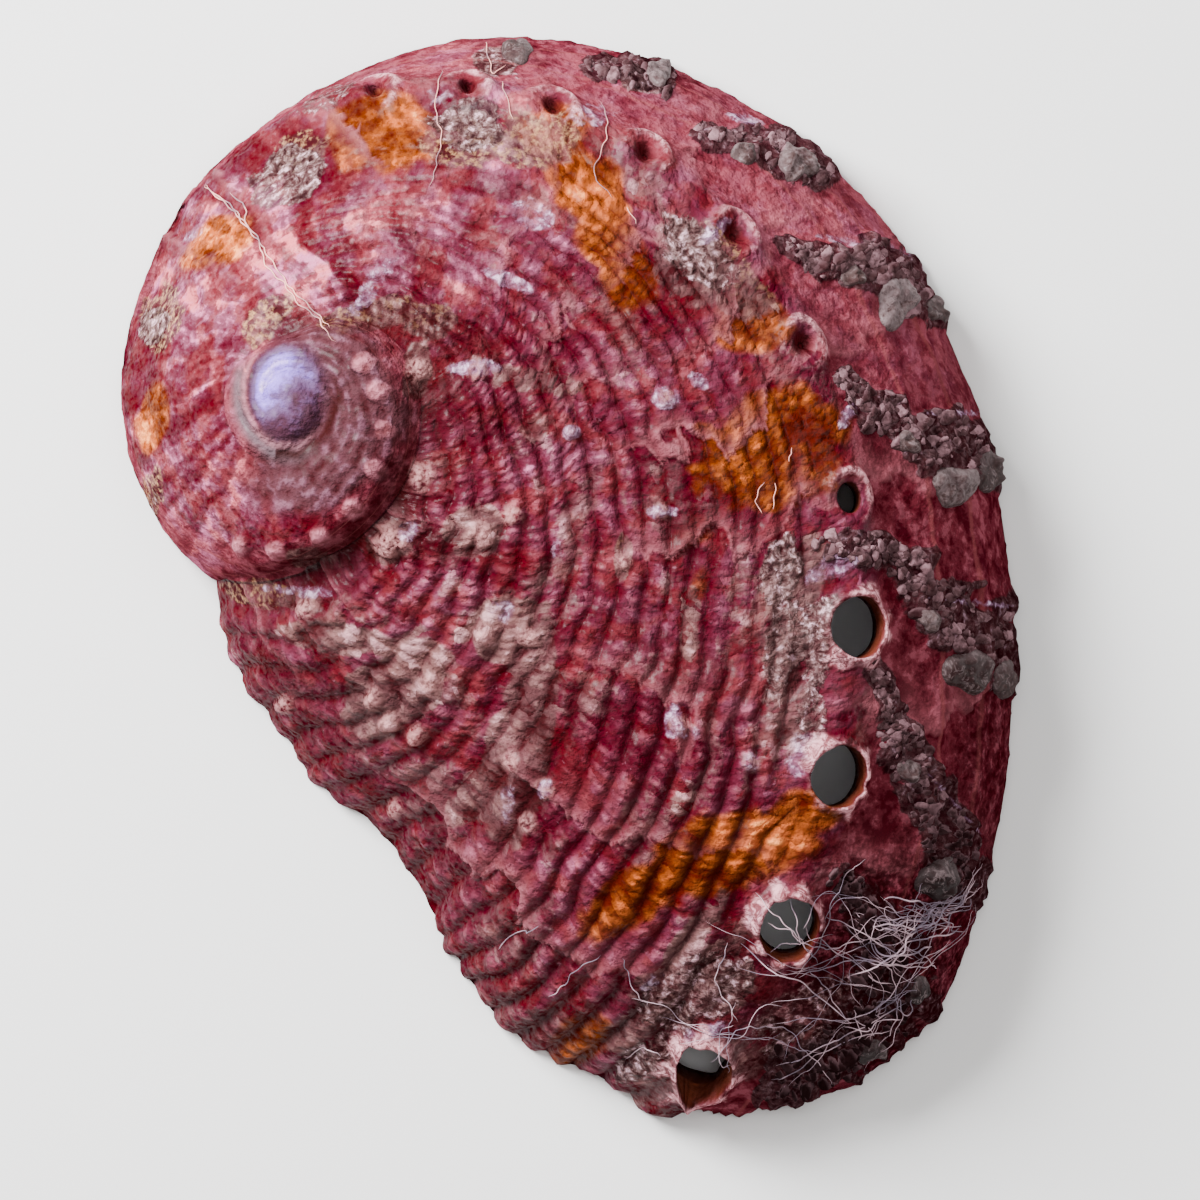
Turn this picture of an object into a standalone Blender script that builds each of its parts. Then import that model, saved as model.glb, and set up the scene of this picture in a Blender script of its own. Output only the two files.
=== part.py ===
"""Abalone shell, one piece, lying on its rim with the spire at the back left.

Run with: blender --background --python part.py

The shell is a spiral strip: each whorl reaches from the seam with the whorl before it (the suture)
out to its own edge, and that edge is the next whorl's suture. A turn is an angle in degrees about
the apex, clockwise seen from above, with 0 along +X. Lengths are in millimetres until MM is applied.
"""

import bmesh
import bpy
import numpy as np
from mathutils import Matrix, Vector

MM = 0.001
FULL_TURN = 360.0

# Driving sizes
CROWN_HEIGHT = 9.3
WALL_THICKNESS = 0.9
SPIRE_EXTRA_THICKNESS = 0.7
LIP_WIDTH = 0.8
APEX = np.array((-9.93, 6.09))
CROWN = np.array((1.12, 1.35))

# Reach of the coil's outer edge from the apex, at each turn, from the apex out
COIL_REACH = (
    (-860, 0.0), (-780, 1.1), (-700, 1.6), (-625, 2.05), (-560, 1.8), (-496, 1.92), (-455, 2.15),
    (-436, 2.6), (-415, 3.7), (-388, 4.5), (-350, 4.8), (-300, 5.35), (-275, 5.95), (-250, 6.6),
    (-228, 6.1), (-205, 5.65), (-180, 5.4), (-155, 5.5), (-135, 6.1), (-115, 7.6), (-100, 9.1),
    (-80, 11.8), (-60, 15.0), (-40, 18.25), (-20, 21.6), (0, 24.3), (20, 27.3), (35, 30.0),
    (43, 31.4), (50, 31.3), (80, 33.2), (112, 35.0),
)
# Reach of the row of holes from the apex
HOLE_ROW_REACH = (
    (-860, 0.0), (-780, 0.8), (-625, 1.3), (-496, 1.3), (-415, 2.3), (-388, 2.75), (-364, 2.95),
    (-340, 3.25), (-300, 3.9), (-266, 4.7), (-234, 5.1), (-205, 5.25), (-180, 5.25), (-155, 5.6),
    (-130, 6.6), (-105, 8.35), (-73, 11.35), (-48, 13.85), (-20, 16.75), (5, 19.4), (22, 21.45),
    (35, 23.35), (47, 25.5), (58, 27.5), (80, 30.3), (112, 33.0),
)
# Turn of the growing lip. A place across the whorl is 0 at the suture, 1 at the holes, 2 at the rim.
LIP_TURN = (
    (0.0, 112.0), (0.035, 108.9), (0.129, 99.6), (0.211, 91.2), (0.298, 85.6), (0.375, 79.0),
    (0.476, 75.2), (0.616, 73.1), (0.77, 69.9), (0.911, 64.6), (1.0, 62.0), (1.35, 58.2),
    (1.8, 52.3), (2.0, 49.7),
)
LIP_END = 112.0
BODY_START = LIP_END - FULL_TURN
COIL_START = -860.0
# Share of the last whorl over which its columns come to lean like the growing lip
LEAN_IN = 0.4

# How boxy the dome is towards each side, by the direction from the crown (0 is +X, anticlockwise)
DOME_FULLNESS = (
    (-180, 3.6), (-140, 2.4), (-110, 2.3), (-80, 2.6), (-20, 3.0), (60, 3.4), (140, 4.0), (180, 3.6)
)
DOME_EDGE = (
    (-180, 0.6), (-140, 0.74), (-110, 0.74), (-80, 0.62), (-20, 0.56), (60, 0.56), (140, 0.58),
    (180, 0.6)
)

# Ribs and relief
RIBS = 16
RIB_HEIGHT = 0.36
SUTURE_DEPTH = 0.75
SPIRE_RISE = 0.9
SPIRE_BREADTH = 4.5
WHORL_BULGE = 0.5
HOLE_RIDGE_HEIGHT = 0.45
# Growth folds, in columns before the lip: each rises slowly and drops to the newer shell
FOLDS = (-39, -36, -32, -29, -26, -22, -20, -17, -14, -12, -10, -8, -5, -3, -1, 1)
FOLD_HEIGHT = 0.26
# Keels along the wall below the holes: place across the whorl, height
WALL_KEELS = ((1.45, 0.16), (1.72, 0.2))
INSIDE_FOLD_BREADTH = 2.2
SHELF_WIDTH = 1.5

# Open holes: turn, long and short radius
OPEN_HOLES = (
    (9.6, 0.5, 0.42), (21.5, 1.1, 0.92), (34.1, 1.12, 0.95), (46.0, 1.15, 1.0), (58.3, 1.1, 1.0)
)
CLOSED_HOLES = (-6.4, -20.4, -34.4, -47.6, -59.5, -73.4)
CLOSED_HOLE_RADIUS = 0.42
PIT_DEPTH = 0.3
CHIMNEY_WALL = 0.4
CHIMNEY_HEIGHT = 0.3
CHIMNEY_TAPER = (1.15, 0.86)
BEAD_TURNS = tuple(range(-389, -230, 19))
BEAD_RADIUS = 0.45
BEAD_HEIGHT = 0.3
# Knobs of the wall below the holes: turn, place across the whorl, radius
KNOBS = (
    (-57.0, 1.5, 0.7), (-42.8, 1.4, 0.7), (-25.5, 1.35, 0.95), (-9.6, 1.4, 1.1), (6.8, 1.42, 1.05),
    (21.1, 1.42, 1.05), (36.1, 1.4, 1.0), (48.4, 1.5, 0.8),
)
KNOB_HEIGHT = 0.45
KNOB_TAPER = (1.2, 0.55)
KNOB_OVALNESS = 0.8
ROOT_DEPTH = 0.45
CUT_DEPTH = 3.0
SHARP_ANGLE = np.radians(40)

# Mesh rows and columns
BODY_COLUMNS = 56
BACK_ROWS = 3 * RIBS
WALL_ROWS = 6
SPIRE_COLUMN_STEP = 2
SPIRE_ROW_STEP = 6
INSIDE_COLUMN_STEP = 2
INSIDE_RINGS = 8
HOLE_SIDES = 16
PIT_SIDES = 8
CHIMNEY_SIDES = 9
KNOB_SIDES = 8
BEAD_SIDES = 6


def smooth_through(points, at):
    """Cubic curve through points, as (place, value) pairs, with slopes taken from the neighbours."""
    place, value = np.array(points, float).T
    slope = np.gradient(value, place)
    at = np.clip(at, place[0], place[-1])
    k = np.clip(np.searchsorted(place, at) - 1, 0, len(place) - 2)
    width = place[k + 1] - place[k]
    u = (at - place[k]) / width
    return (
        value[k] * (1 + 2 * u) * (1 - u) ** 2
        + value[k + 1] * u * u * (3 - 2 * u)
        + width * (slope[k] * u * (1 - u) ** 2 - slope[k + 1] * u * u * (1 - u))
    )


def coil_reach(turn):
    return np.where(turn > COIL_START, smooth_through(COIL_REACH, turn), 0.0)


def across_reach(turn, across):
    """Reach at a place across the whorl: 0 is the suture, 1 the row of holes and 2 the edge."""
    suture = coil_reach(turn - FULL_TURN)
    holes = smooth_through(HOLE_ROW_REACH, turn)
    wall = 1 - (1 - np.clip(across - 1, 0, 1)) ** 1.5
    return suture + (holes - suture) * np.minimum(across, 1) + (coil_reach(turn) - holes) * wall


def on_coil(turn, across):
    """Plan position at a turn and a place across the whorl."""
    reach = across_reach(turn, across)
    angle = -np.radians(turn)
    return np.stack((APEX[0] + reach * np.cos(angle), APEX[1] + reach * np.sin(angle)), -1)


def whorl_at(plan):
    """The turn of plan positions, and how far they lie from the suture and from the whorl's edge."""
    away = plan - APEX
    reach = np.hypot(away[..., 0], away[..., 1])
    turn = -np.degrees(np.arctan2(away[..., 1], away[..., 0]))
    turn = turn - FULL_TURN * np.ceil((turn - LIP_END) / FULL_TURN)
    for _ in range(2):
        turn = np.where(reach < coil_reach(turn - FULL_TURN), turn - FULL_TURN, turn)
    return turn, reach - coil_reach(turn - FULL_TURN), coil_reach(turn) - reach


def outline_of_rim():
    """Plan outline as (direction from the crown in degrees, reach), sorted by direction."""
    rim_turns = np.linspace(BODY_START, LIP_TURN[-1][1], 500)
    rim = on_coil(rim_turns, 2.0)
    lip_across = np.linspace(2, 0, 400)
    lip_turns = smooth_through(LIP_TURN, lip_across)
    lip = on_coil(lip_turns, lip_across)
    away = np.concatenate((rim, lip[1:-1])) - CROWN
    direction = np.degrees(np.arctan2(away[:, 1], away[:, 0]))
    order = np.argsort(direction)
    return direction[order], np.hypot(away[:, 0], away[:, 1])[order]


OUTLINE_DIRECTION, OUTLINE_REACH = outline_of_rim()


def nearness_to_rim(plan):
    """0 at the crown and 1 at the rim, with the direction from the crown in degrees."""
    away = plan - CROWN
    direction = np.degrees(np.arctan2(away[..., 1], away[..., 0]))
    rim = np.interp(direction, OUTLINE_DIRECTION, OUTLINE_REACH, period=FULL_TURN)
    return np.hypot(away[..., 0], away[..., 1]) / rim, direction


def dome(plan, on_rim):
    """Points and unit normals of the smooth dome, height = crown * (1 - nearness^full)^edge."""
    near, direction = nearness_to_rim(plan)
    near = np.where(on_rim, 1.0, np.minimum(near, 0.9995))
    full = smooth_through(DOME_FULLNESS, direction)
    edge = smooth_through(DOME_EDGE, direction)
    left = 1 - near**full
    height = CROWN_HEIGHT * left**edge
    step = 0.01
    gradient = [
        (nearness_to_rim(plan + offset)[0] - nearness_to_rim(plan - offset)[0]) / (2 * step)
        for offset in (np.array((step, 0)), np.array((0, step)))
    ]
    steep = CROWN_HEIGHT * edge * full * near ** (full - 1)
    normal = np.stack((steep * gradient[0], steep * gradient[1], left ** (1 - edge)), -1)
    normal /= np.linalg.norm(normal, axis=-1, keepdims=True)
    return np.concatenate((plan, height[..., None]), -1), normal


def hump(distance, width):
    return np.exp(-((distance / width) ** 2))


def spire_rise(plan):
    return SPIRE_RISE * hump(np.hypot(*np.moveaxis(plan - APEX, -1, 0)), SPIRE_BREADTH)


def suture_valley(turn, from_suture, to_edge, breadth):
    """Depth of the valley along the suture, on both its sides, shallower towards the apex."""
    valley = hump(from_suture, breadth) * np.clip((coil_reach(turn - FULL_TURN) - 1) / 4, 0, 1)
    next_valley = hump(to_edge, 0.6 * breadth) * np.clip((coil_reach(turn) - 1) / 4, 0, 1)
    fade, next_fade = (np.clip((end - turn) / 25, 0, 1) for end in (LIP_END, BODY_START))
    return SUTURE_DEPTH * np.maximum(valley * fade, next_valley * next_fade)


def broad_relief(turn, across, reach):
    """What shapes the whole wall: the valley of the suture, round older whorls and the hole row."""
    from_suture = reach - coil_reach(turn - FULL_TURN)
    to_edge = coil_reach(turn) - reach
    width = np.maximum(from_suture + to_edge, 1e-6)
    older = np.clip((BODY_START - turn) / 40, 0, 1)
    bulge = WHORL_BULGE * older * 4 * from_suture * to_edge / width**2 * np.minimum(width / 4, 1)
    ridge_width = 0.35 + 0.75 * np.clip((turn + 120) / 150, 0, 1)
    ridge = hump(reach - smooth_through(HOLE_ROW_REACH, turn), ridge_width)
    ridge = HOLE_RIDGE_HEIGHT * np.clip((turn - BODY_START) / 100, 0, 1) * ridge
    valley = suture_valley(turn, from_suture, to_edge, 0.15 + 0.22 * np.minimum(width, 6))
    return bulge + ridge - valley


def rib_relief(turn, across):
    """Round ribs with narrow grooves, lower where the whorl is narrow and fading near its start."""
    ribs = np.abs(np.sin(np.pi * RIBS * across)) ** 0.8
    width = coil_reach(turn) - coil_reach(turn - FULL_TURN)
    strength = np.clip((turn - BODY_START - 30) / 120, 0, 1) * np.minimum(width / 18, 1)
    on_back = np.clip((1 - across) * RIBS / 1.5, 0, 1) * np.clip(across * RIBS / 1.2, 0, 1)
    return RIB_HEIGHT * strength * on_back * (ribs - 0.6)


def fold_relief(turn, across):
    """A slow rise and a steep drop at each growth fold, weaker on the wall below the holes."""
    growth = turn - smooth_through(LIP_TURN, across)
    lines = np.array(FOLDS) * FULL_TURN / BODY_COLUMNS
    following = np.clip(np.searchsorted(lines, growth - 1e-6), 1, len(lines) - 1)
    rise = (growth - lines[following - 1]) / (lines[following] - lines[following - 1])
    rise = np.maximum(rise, 0) ** 1.5 - 0.4
    strength = np.clip((growth - lines[0]) / 120, 0, 1) * (1 - 0.5 * np.clip(across, 0, 1))
    return FOLD_HEIGHT * strength * rise


def chimneys():
    """Turn, long and short radius of every chimney of the hole row: open holes, then closed ones."""
    return OPEN_HOLES + tuple((turn, CLOSED_HOLE_RADIUS, CLOSED_HOLE_RADIUS) for turn in CLOSED_HOLES)


def outside(turn, across, on_rim):
    """Points of the outer surface: the dome, moved along its normals by the relief."""
    reach = across_reach(turn, across)
    plan = on_coil(turn, across)
    points, normals = dome(plan, on_rim)
    fine = rib_relief(turn, across) + fold_relief(turn, across)
    for keel, keel_height in WALL_KEELS:
        fine += keel_height * hump(across - keel, 0.07) * np.clip((turn + 70) / 60, 0, 1)
    for hole_turn, long_radius, _ in chimneys():
        away = np.linalg.norm(plan - on_coil(np.array(hole_turn), 1.0), axis=-1)
        fine *= 1 - 0.9 * hump(away, 1.5 * long_radius)
    height = spire_rise(plan) + broad_relief(turn, across, reach) + fine
    return points + height[..., None] * normals


def body_grid():
    """The last whorl, from the suture to the rim: its columns lean until they follow the lip."""
    across = np.concatenate((np.linspace(0, 1, BACK_ROWS + 1), np.linspace(1, 2, WALL_ROWS + 1)[1:]))
    along = np.linspace(0, 1, BODY_COLUMNS + 1)[:, None]
    ease = np.minimum(along / LEAN_IN, 1)
    lean = (smooth_through(LIP_TURN, across) - LIP_END) * ease * ease * (3 - 2 * ease)
    turn = BODY_START + FULL_TURN * along + lean
    on_rim = np.zeros(turn.shape, bool)
    on_rim[:, -1] = True
    on_rim[-1] = True
    return outside(turn, np.broadcast_to(across, turn.shape), on_rim), across


def spire_grid(across):
    """The older whorls, down to the apex, with their last whorl's edge lying on the body's suture."""
    step = SPIRE_COLUMN_STEP * FULL_TURN / BODY_COLUMNS
    columns = int(np.ceil((BODY_START - COIL_START) / step))
    turn = BODY_START - step * np.arange(columns, -1, -1)[:, None]
    across = np.broadcast_to(across[::SPIRE_ROW_STEP], (columns + 1, len(across[::SPIRE_ROW_STEP])))
    turn = np.broadcast_to(turn, across.shape)
    return outside(turn, across, np.zeros(turn.shape, bool))


def strip_faces(ids):
    return np.stack((ids[:-1, :-1], ids[1:, :-1], ids[1:, 1:], ids[:-1, 1:]), -1).reshape(-1, 4).tolist()


def faces_to_finer(coarse, fine, step):
    """Faces between a line of points and a parallel line with step times as many spaces."""
    return [
        [coarse[k], coarse[k + 1], *fine[step * k : step * (k + 1) + 1][::-1]]
        for k in range(len(coarse) - 1)
    ]


def underside(loop):
    """Rings of the inside from the rim's loop to a point under the crown: the dome moved inwards."""
    edge = loop[::INSIDE_COLUMN_STEP, :2]
    near = np.cos(np.linspace(0, np.pi / 2, INSIDE_RINGS + 1))[:-1, None]
    plan = CROWN + (edge - CROWN) * near[..., None]
    on_rim = np.broadcast_to(near == 1, plan.shape[:-1])
    points, normals = dome(plan, on_rim)
    turn, from_suture, to_edge = whorl_at(plan)
    thick = WALL_THICKNESS + SPIRE_EXTRA_THICKNESS * spire_rise(plan) / SPIRE_RISE
    shelf = LIP_WIDTH + shelf_width(turn)
    thick = thick + (shelf - thick) * near**12
    relief = spire_rise(plan) - suture_valley(turn, from_suture, to_edge, INSIDE_FOLD_BREADTH)
    sunk = relief * (1 - near**12) - thick
    inner = points + sunk[..., None] * normals
    top = (*CROWN, CROWN_HEIGHT - WALL_THICKNESS)
    return inner, top


def shelf_width(turn):
    """The columella's flat shelf, along the side where the row of holes is."""
    rising = np.clip((turn + 240) / 150, 0, 1)
    falling = np.clip((LIP_TURN[-1][1] - turn) / 30, 0, 1)
    return SHELF_WIDTH * rising * falling


def shell_mesh():
    """Points and faces of the whole shell. Whorls share their points along the suture."""
    body, across = body_grid()
    spire = spire_grid(across)
    columns, rows = body.shape[:2]
    body_ids = np.arange(columns * rows).reshape(columns, rows)
    body_ids[-1, 0] = body_ids[0, -1]
    spire_ids = columns * rows + np.arange(spire.shape[0] * spire.shape[1]).reshape(spire.shape[:2])
    spire_ids[-1] = body_ids[0, ::SPIRE_ROW_STEP]
    per_whorl = BODY_COLUMNS // SPIRE_COLUMN_STEP
    spire_ids[0] = spire_ids[0, 0]
    spire_ids[: per_whorl + 1, 0] = spire_ids[0, 0]
    spire_ids[-per_whorl - 1 :, -1] = body_ids[::SPIRE_COLUMN_STEP, 0]
    spire_ids[: -per_whorl, -1] = spire_ids[per_whorl:, 0]
    faces = strip_faces(body_ids)
    faces += strip_faces(spire_ids[:-1, :-1])
    faces += strip_faces(spire_ids[: -per_whorl, -2:])
    last_row = spire_ids[-per_whorl - 1 : -1, -2]
    faces += faces_to_finer(last_row, body_ids[:-SPIRE_COLUMN_STEP, 0], SPIRE_COLUMN_STEP)
    faces += faces_to_finer(spire_ids[-2, :-1], body_ids[0, :-SPIRE_ROW_STEP], SPIRE_ROW_STEP)
    corner = (*body_ids[-1 - SPIRE_COLUMN_STEP :, 0], *body_ids[0, -1 - SPIRE_ROW_STEP : -1][::-1])
    faces += [[last_row[-1], *corner]]
    loop_ids = np.concatenate((body_ids[:-1, -1], body_ids[-1, :0:-1]))
    points = np.concatenate((body.reshape(-1, 3), spire.reshape(-1, 3)))
    inner, top = underside(points[loop_ids])
    inner_ids = len(points) + np.arange(inner.shape[0] * inner.shape[1]).reshape(inner.shape[:2])
    points = np.concatenate((points, inner.reshape(-1, 3), np.array(top)[None]))
    around = np.concatenate((inner_ids, inner_ids[:, :1]), 1)
    faces += faces_to_finer(around[0], np.append(loop_ids, loop_ids[0]), INSIDE_COLUMN_STEP)
    faces += strip_faces(around)
    faces += [[a, b, len(points) - 1] for a, b in zip(around[-1, 1:], around[-1, :-1])]
    return points, faces


def named_collection(name):
    made = bpy.data.collections.new(name)
    bpy.context.scene.collection.children.link(made)
    return made


def add_mesh(name, points, faces, collection):
    """A closed mesh with its faces turned outwards, from points in millimetres."""
    mesh = bpy.data.meshes.new(name)
    faces = [[int(i) for i in dict.fromkeys(face)] for face in faces]
    mesh.from_pydata((points * MM).tolist(), [], [face for face in faces if len(face) > 2])
    work = bmesh.new()
    work.from_mesh(mesh)
    bmesh.ops.remove_doubles(work, verts=work.verts, dist=1e-7)
    bmesh.ops.dissolve_degenerate(work, edges=work.edges, dist=1e-7)
    bmesh.ops.recalc_face_normals(work, faces=work.faces)
    work.to_mesh(mesh)
    work.free()
    obj = bpy.data.objects.new(name, mesh)
    collection.objects.link(obj)
    return obj


def shell_material():
    material = bpy.data.materials.new("red_shell")
    material.use_nodes = True
    surface = material.node_tree.nodes["Principled BSDF"]
    surface.inputs["Base Color"].default_value = (0.38, 0.07, 0.08, 1)
    surface.inputs["Roughness"].default_value = 0.55
    surface.inputs["Metallic"].default_value = 0.0
    return material


def frame_on_wall(turn, across, long_radius, short_radius):
    """Places a shape on the wall: its Z along the wall's normal, its X along the row of holes."""
    (x, y, height), normal = (Vector(v) for v in dome(on_coil(np.array(turn), across), False))
    place = Vector((x, y, height)) + wall_lift(turn, across) * normal
    ahead = on_coil(np.array(turn + 2.0), across) - on_coil(np.array(turn - 2.0), across)
    along = Vector((*ahead, 0))
    along = (along - along.project(normal)).normalized()
    frame = Matrix((along, normal.cross(along), normal)).transposed().to_4x4()
    frame.translation = place
    return Matrix.Scale(MM, 4) @ frame @ Matrix.Diagonal((long_radius, short_radius, 1, 1))


def wall_lift(turn, across):
    turn = np.array(turn, float)
    plan = on_coil(turn, across)
    return float(spire_rise(plan) + broad_relief(turn, across, across_reach(turn, across)))


def add_tapered(name, frame, sides, taper, low, high, collection):
    """A closed cylinder from height low to height high, with the taper's bottom and top radius."""
    bottom, top = taper
    bpy.ops.mesh.primitive_cone_add(vertices=sides, radius1=bottom, radius2=top, depth=high - low)
    made = bpy.context.object
    made.name = name
    made.data.transform(frame @ Matrix.Translation((0, 0, (low + high) / 2)))
    for owner in made.users_collection:
        owner.objects.unlink(made)
    collection.objects.link(made)
    made.hide_render = True
    made.display_type = "WIRE"
    return made


def combine(shell, tool, operation):
    step = shell.modifiers.new(tool.name, "BOOLEAN")
    step.operation = operation
    step.object = tool


def grow(shell, name, frame, sides, taper, height, collection):
    tool = add_tapered(name, frame, sides, taper, -ROOT_DEPTH, height, collection)
    combine(shell, tool, "UNION")


def add_lumps(shell, tools):
    for number, (turn, long_radius, short_radius) in enumerate(chimneys()):
        frame = frame_on_wall(turn, 1.0, long_radius + CHIMNEY_WALL, short_radius + CHIMNEY_WALL)
        name = f"chimney_{number + 1}"
        grow(shell, name, frame, CHIMNEY_SIDES, CHIMNEY_TAPER, CHIMNEY_HEIGHT, tools)
    for number, (turn, across, radius) in enumerate(KNOBS):
        frame = frame_on_wall(turn, across, radius, KNOB_OVALNESS * radius)
        grow(shell, f"knob_{number + 1}", frame, KNOB_SIDES, KNOB_TAPER, KNOB_HEIGHT, tools)
    for number, turn in enumerate(BEAD_TURNS):
        frame = frame_on_wall(turn, 1.0, BEAD_RADIUS, BEAD_RADIUS)
        grow(shell, f"bead_{number + 1}", frame, BEAD_SIDES, KNOB_TAPER, BEAD_HEIGHT, tools)


def cut_holes(shell, tools):
    for number, (turn, long_radius, short_radius) in enumerate(chimneys()):
        is_open = number < len(OPEN_HOLES)
        bottom = -CUT_DEPTH if is_open else CHIMNEY_HEIGHT - PIT_DEPTH
        sides = HOLE_SIDES if is_open else PIT_SIDES
        frame = frame_on_wall(turn, 1.0, long_radius, short_radius)
        cutter = add_tapered(f"hole_{number + 1}", frame, sides, (1.0, 1.0), bottom, CUT_DEPTH, tools)
        combine(shell, cutter, "DIFFERENCE")


def main():
    for obj in list(bpy.data.objects):
        bpy.data.objects.remove(obj)
    shell = add_mesh("shell", *shell_mesh(), named_collection("abalone_shell"))
    shell.data.materials.append(shell_material())
    shell.data.shade_smooth()
    shell.data.set_sharp_from_angle(angle=SHARP_ANGLE)
    tools = named_collection("cutters")
    add_lumps(shell, tools)
    cut_holes(shell, tools)


main()
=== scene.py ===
import itertools

import bpy
import numpy as np
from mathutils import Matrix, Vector


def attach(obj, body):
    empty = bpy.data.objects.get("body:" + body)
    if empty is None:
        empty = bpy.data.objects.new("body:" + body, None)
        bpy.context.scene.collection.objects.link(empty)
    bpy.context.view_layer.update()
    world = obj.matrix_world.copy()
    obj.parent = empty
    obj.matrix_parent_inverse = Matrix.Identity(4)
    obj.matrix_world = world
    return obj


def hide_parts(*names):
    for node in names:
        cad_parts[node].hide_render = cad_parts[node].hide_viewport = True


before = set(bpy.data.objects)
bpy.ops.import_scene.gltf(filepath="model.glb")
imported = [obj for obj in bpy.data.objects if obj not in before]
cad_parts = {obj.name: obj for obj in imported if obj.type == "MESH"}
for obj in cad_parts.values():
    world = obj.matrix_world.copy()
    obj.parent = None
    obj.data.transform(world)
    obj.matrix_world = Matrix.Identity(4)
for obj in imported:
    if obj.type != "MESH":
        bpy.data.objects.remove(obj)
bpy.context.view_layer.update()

bl_info = {
    "name": "Abalone shell",
    "version": (1, 0, 0),
    "blender": (4, 5, 0),
    "location": "3D View > Sidebar > Abalone",
    "description": "A ribbed abalone shell with its crust, its pearly inside, caught lint and a stage",
    "category": "Add Mesh",
}

# Lengths are in millimetres until a mesh is made. A turn is an angle in degrees about the apex,
# clockwise seen from above. A place across the whorl is 0 at the suture, 1 at the holes, 2 at the rim.
# "Along" is the share of the last whorl that has grown: 0 at its start and 1 at the lip.
MM = 0.001
FULL_TURN = 360.0
TAU = 2 * np.pi

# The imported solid's own sizes. A reach is a distance from the apex, given by turn.
CROWN_HEIGHT = 9.3
WALL_THICKNESS = 0.9
SPIRE_EXTRA_THICKNESS = 0.7
LIP_WIDTH = 0.8
APEX = np.array((-9.93, 6.09))
CROWN = np.array((1.12, 1.35))
COIL_REACH = (
    (-860, 0), (-780, 1.1), (-700, 1.6), (-625, 2.05), (-560, 1.8), (-496, 1.92), (-455, 2.15), (-436, 2.6),
    (-415, 3.7), (-388, 4.5), (-350, 4.8), (-300, 5.35), (-275, 5.95), (-250, 6.6), (-228, 6.1), (-205, 5.65),
    (-180, 5.4), (-155, 5.5), (-135, 6.1), (-115, 7.6), (-100, 9.1), (-80, 11.8), (-60, 15), (-40, 18.25),
    (-20, 21.6), (0, 24.3), (20, 27.3), (35, 30), (43, 31.4), (50, 31.3), (80, 33.2), (112, 35),
)
HOLE_ROW_REACH = (
    (-860, 0), (-780, 0.8), (-625, 1.3), (-496, 1.3), (-415, 2.3), (-388, 2.75), (-364, 2.95), (-340, 3.25),
    (-300, 3.9), (-266, 4.7), (-234, 5.1), (-205, 5.25), (-180, 5.25), (-155, 5.6), (-130, 6.6), (-105, 8.35),
    (-73, 11.35), (-48, 13.85), (-20, 16.75), (5, 19.4), (22, 21.45), (35, 23.35), (47, 25.5), (58, 27.5),
    (80, 30.3), (112, 33),
)
# The lip: turn by place across the whorl
LIP_TURN = (
    (0, 112), (0.035, 108.9), (0.129, 99.6), (0.211, 91.2), (0.298, 85.6), (0.375, 79), (0.476, 75.2),
    (0.616, 73.1), (0.77, 69.9), (0.911, 64.6), (1, 62), (1.35, 58.2), (1.8, 52.3), (2, 49.7),
)
RIM_END = LIP_TURN[-1][1]
LIP_END = 112.0
BODY_START = LIP_END - FULL_TURN
COIL_START = -860.0
OLDER_GROWTH = 60
# The power by which the wall steepens outwards, and the share of the whorl in which columns come to lean
WALL_CURVE = 1.5
LEAN_IN = 0.4
# The dome's two powers, by direction from the crown, and the nearness to the rim at which it is cut off
DOME_FULLNESS = (
    (-180, 3.6), (-140, 2.4), (-110, 2.3), (-80, 2.6), (-20, 3), (60, 3.4), (140, 4), (180, 3.6),
)
DOME_EDGE = (
    (-180, 0.6), (-140, 0.74), (-110, 0.74), (-80, 0.62), (-20, 0.56), (60, 0.56), (140, 0.58), (180, 0.6),
)
DOME_LIMIT = 0.9995
SUTURE_DEPTH = 0.6
SPIRE_RISE = 0.9
SPIRE_BREADTH = 4.5
WHORL_BULGE = 0.5
HOLE_RIDGE_HEIGHT = 0.45
# Where growth paused, in steps back from the lip, and the keels of the wall: place across and height
FOLDS = (-39, -36, -32, -29, -26, -22, -20, -17, -14, -12, -10, -8, -5, -3, -1, 1)
FOLD_SPACING = FULL_TURN / 56
WALL_KEELS = ((1.4, 0.12), (1.66, 0.14))
INSIDE_FOLD_BREADTH = 2.2
SHELF_WIDTH = 1.5

# Open holes and closed ones: turn, long and short radius of the mouth, height of its raised rim
OPEN_HOLES = (
    (9.6, 0.55, 0.42, 0.3), (21.5, 1.08, 0.9, 0.42), (34.1, 1.1, 0.93, 0.5), (46, 1.1, 1, 0.55),
    (57.7, 1.04, 0.98, 0.45),
)
CLOSED_HOLES = (
    (-6.4, 0.5, 0.36, 0.3), (-20.4, 0.48, 0.36, 0.36), (-34.4, 0.44, 0.34, 0.36), (-47.6, 0.42, 0.3, 0.3),
    (-59.5, 0.34, 0.26, 0.22), (-73.4, 0.36, 0.26, 0.22),
)
# Middles of the beads on the spire
BEADS = (
    (-7.1, 7.4), (-6.6, 6.5), (-6.4, 5.15), (-6.7, 3.8), (-7.4, 2.5), (-8.5, 1.65), (-9.95, 1.25),
    (-11.3, 1.35),
)
# The smooth first whorls: middle of the dome, its half width and half height, and middle of its colours
DOME_MIDDLE = np.array((-9.65, 6.55))
DOME_SIZE = np.array((1.45, 1.78))
DOME_VIEW = np.array((-9.88, 6.5))

# Relief that the fine surface adds
RIBS = 16
NEW_RIBS = 4
RIB_HEIGHT = 0.19
BEAD_PITCH = 0.27
BEAD_HEIGHT = 0.07
FOLD_HEIGHT = 0.26
FINE_LAMELLA = 2.3
LAMELLA_HEIGHT = 0.05
THREADS = 8
THREAD_HEIGHT = 0.05
SPIRE_BEAD_RADIUS = 0.42
SPIRE_BEAD_HEIGHT = 0.26
SPIRE_DOME_HEIGHT = 0.3
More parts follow.
